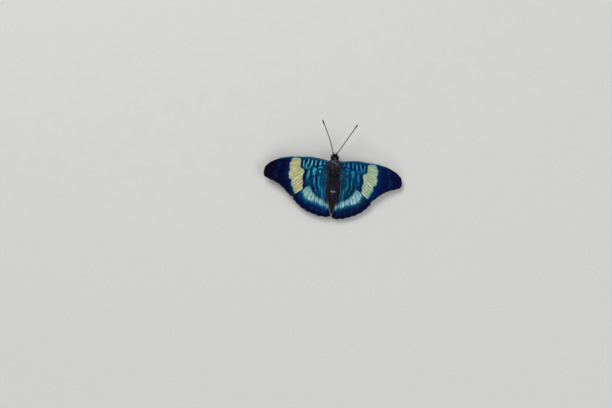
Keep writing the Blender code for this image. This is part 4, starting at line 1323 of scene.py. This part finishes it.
def hairFinish():
    finish = Finish("body hair", 0.09, bodyTones, Roughness=0.6)
    out, chance, _ = finish.attribute("tuft")
    # Each hair is darker at its root and lighter toward its tip, painted shade deep in the coat, and each
    # tuft has its own random tone
    return finish.wear(finish.brighten(bodyColour(finish, chance), 0.72 + out * 0.3 + chance * 0.3))


coats = {
    "thorax": {"count": 17000, "length": 1.0, "width": 0.074, "lift": 0.34, "scatter": 0.2, "bend": 0.5,
               "curl": 0.45},
    "belly": {"count": 3600, "length": 0.8, "width": 0.08, "lift": 0.3, "scatter": 0.3},
    "abdomen": {"count": 16000, "length": 0.42, "width": 0.11, "lift": 0.1, "scatter": 0.12},
    "head": {"count": 6500, "length": 0.46, "width": 0.055, "lift": 0.36, "scatter": 0.22, "bend": 0.5,
             "curl": 0.3},
    "palp": {"count": 3600, "length": 0.3, "width": 0.085, "lift": 0.14, "scatter": 0.2},
}
bodyHair = hairFinish()


def growCoat(region, allowed, lieOf):
    root, normal = rootsOn(coats[region]["count"], allowed)
    addTufts(f"coat_{region}", bodyHair, "body", root, normal, lieOf(root), {"place": bodyPlace(root)},
             bodyAtlas(root), coats[region])


def backward(points):
    # Back along the body, and up over the front of the thorax
    x, y, _ = points.T
    return np.column_stack((np.sign(x) * 0.12, 0 * y - 1, 1.3 * np.clip((y - 0.8) / 2.2, 0, 1) - 0.12))


def overHead(points):
    # Up and forward between the feelers, forward on the face, back behind the eyes
    up = np.clip((points[:, 2] - 5.3) / 1.2, -1, 1)
    ahead = np.clip((points[:, 1] - 5.2) / 1.2, -1, 1)
    return np.column_stack((points[:, 0] * 0.15, ahead + 0.15, up * 0.9 + 0.1))


def alongPalp(points):
    way = palpPlace(points)[1]
    way[:, 0] *= np.sign(points[:, 0])
    return way


onThorax = lambda p: (p[:, 1] > -3.9) & (p[:, 1] < 4.3)
onPalp = lambda p: (palpPlace(p)[0] < 0.42) & (p[:, 1] > 6.75)
growCoat("thorax", lambda p: onThorax(p) & (p[:, 2] > 3.9), backward)
growCoat("belly", lambda p: onThorax(p) & (p[:, 2] <= 4.2), lambda p: np.tile((0.0, -1.0, -0.5), (len(p), 1)))
growCoat("abdomen", lambda p: p[:, 1] <= -3.7, backward)
growCoat("head", lambda p: (p[:, 1] >= 4.1) & clearOfEyes(p) & ~onPalp(p), overHead)
growCoat("palp", onPalp, alongPalp)

# Hair at the forewings' roots, within reach of a centre and away from a point, and on the hindwings,
# within reach of the abdomen, and the fringe of the outer edges
wingHair = {
    "fore": {"count": 700, "low": (2.0, -1.8), "high": (5.0, 2.9), "reach": 2.9, "centre": (2.0, 0.6),
             "from": (1.2, 1.2), "length": 0.6, "width": 0.05, "lift": 0.16, "scatter": 0.15, "bend": 0.5},
    "hind": {"count": 2200, "low": (0.6, -24.4), "high": (5.0, -3.4), "reach": 1.7, "clear": 0.08,
             "way": (0.04, -1.0), "length": 1.1, "width": 0.05, "lift": 0.12, "scatter": 0.12, "bend": 0.5},
    "tries": 8, "above": 0.06, "mapMargin": 1.5,
}
fringe = {"spacing": 0.05, "length": 0.34, "width": 0.09, "lift": 0.04, "scatter": 0.14, "bend": 0.1,
          "thick": 0.25, "inside": (0.04, 0.22), "raised": (-0.03, 0.05), "marksAt": 0.1, "white": 0.36,
          "tones": {"dark": (12, 14, 36), "light": (34, 40, 62), "white": (128, 138, 146)}}


def planFrame(layer, side, plan, ways, lift):
    # Place, upward normal and lie in the pose for places and directions on the plan
    step = 0.05
    here = onWing(layer, side, plan, lift)
    aside, ahead, lie = (onWing(layer, side, plan + way, lift) - here
                         for way in ((step, 0), (0, step), ways * step))
    return here, np.cross(aside, ahead) * sides[side], lie


def planAtlas(layer, plan):
    corners = np.array(wingPlans[layer]["outline"])
    low, high = corners.min(0) - wingHair["mapMargin"], corners.max(0) + wingHair["mapMargin"]
    return (plan - low) / (high - low)


def growWingHair(layer):
    hair = wingHair[layer]
    count = hair["count"]
    plan = dice.uniform(hair["low"], hair["high"], (count * wingHair["tries"], 2))
    plan = plan[insideLoop(plan, wingNets[layer][2])]
    chance = dice.uniform(0, 1, len(plan))
    if layer == "hind":
        away = plan[:, 0] - abdomenSide(plan[:, 1])
        plan = plan[(away < hair["reach"] * chance**0.6) & (away > hair["clear"])][:count]
        ways = np.tile(hair["way"], (len(plan), 1))
    else:
        plan = plan[np.hypot(*(plan - hair["centre"]).T) < hair["reach"] * chance**0.5][:count]
        ways = unit(plan - hair["from"])
    marks = wingMarks(layer, plan, *wingNets[layer][2:])
    rise = wingBulge(layer, marks) + membrane["half"] + wingHair["above"]
    for side in sides:
        addTufts(f"hair_{layer}wing_{side}", wingFinishes[layer, side], "wing",
                 *planFrame(layer, side, plan, ways, rise), marks, planAtlas(layer, plan), hair)


def fringeFinish():
    finish = Finish("wing fringe", 0.1, fringe["tones"], Roughness=0.6)
    _, chance, tone = finish.attribute("tuft")
    dark = finish.mix(chance, "dark", "light")
    return finish.wear(finish.mix(tone * finish.ramp(0.1, 0.5, chance), dark, "white"))


def growFringe(layer, finish):
    plan = wingPlans[layer]
    line = smoothCurve(plan["outline"][slice(*plan["outerMargin"])], fringe["spacing"])
    # Three rows, lying outwards, and white between the veins
    outward = np.tile(leftOf(line), (3, 1))
    line = np.tile(line, (3, 1))
    roots = line - outward * dice.uniform(*fringe["inside"], len(line))[:, None]
    marks = wingMarks(layer, line - outward * fringe["marksAt"], *wingNets[layer][2:])
    tone = np.clip((fringe["white"] - np.abs(marks["fan"][:, 0] - 0.5)) / 0.1, 0, 1)
    for side in sides:
        here, up, lie = planFrame(layer, side, roots, outward, wingBulge(layer, marks))
        here = here + unit(up) * dice.uniform(*fringe["raised"], len(here))[:, None]
        addTufts(f"fringe_{layer}wing_{side}", finish, "wing", here, up, lie, {}, planAtlas(layer, roots),
                 fringe, tone)


edging = fringeFinish()
for layer in wingPlans:
    growWingHair(layer)
    growFringe(layer, edging)

# Short scales on the legs, longer on the forelegs: how many on each and how long
limbScales = {"midleg": (900, 0.2), "hindleg": (900, 0.2), "foreleg": (1300, 0.4)}
limbCoat = {"width": 0.05, "lift": 0.1, "scatter": 0.2, "bend": 0.3, "depth": 0.97, "lowest": 0.16}


def growLimbCoat():
    finish = Finish("leg scales", 0.15, limbTones, Roughness=0.6)
    finish.wear(legColour(finish, 0.25 + finish.attribute("tuft")[1] * 0.5))
    grown = []
    for order, ((name, side), (path, radii)) in enumerate(legPaths.items()):
        count, length = limbScales[name]
        at = dice.integers(4, len(path) - 3, count)
        step = path[at + 1] - path[at]
        out = unit(np.cross(unit(step), dice.normal(0, 1, (count, 3))))
        root = path[at] + step * dice.uniform(0, 1, count)[:, None]
        root = root + out * radii[at][:, None] * limbCoat["depth"]
        angle = np.arctan2(out[:, 2], out[:, 0] * sides[side]) / math.tau + 0.5
        share, gone = pathShare(root, path)
        keep = root[:, 2] > limbCoat["lowest"]
        rows = (root, out, unit(step), np.column_stack((share, gone, share)),
                np.column_stack(((order + share) / len(legPaths), angle)), np.full(count, length))
        grown.append([row[keep] for row in rows])
    root, out, along, marks, atlas, length = (np.concatenate(part) for part in zip(*grown))
    addTufts("coat_legs", finish, "limb", root, out, along, {"along": marks}, atlas,
             dict(limbCoat, length=length))


growLimbCoat()
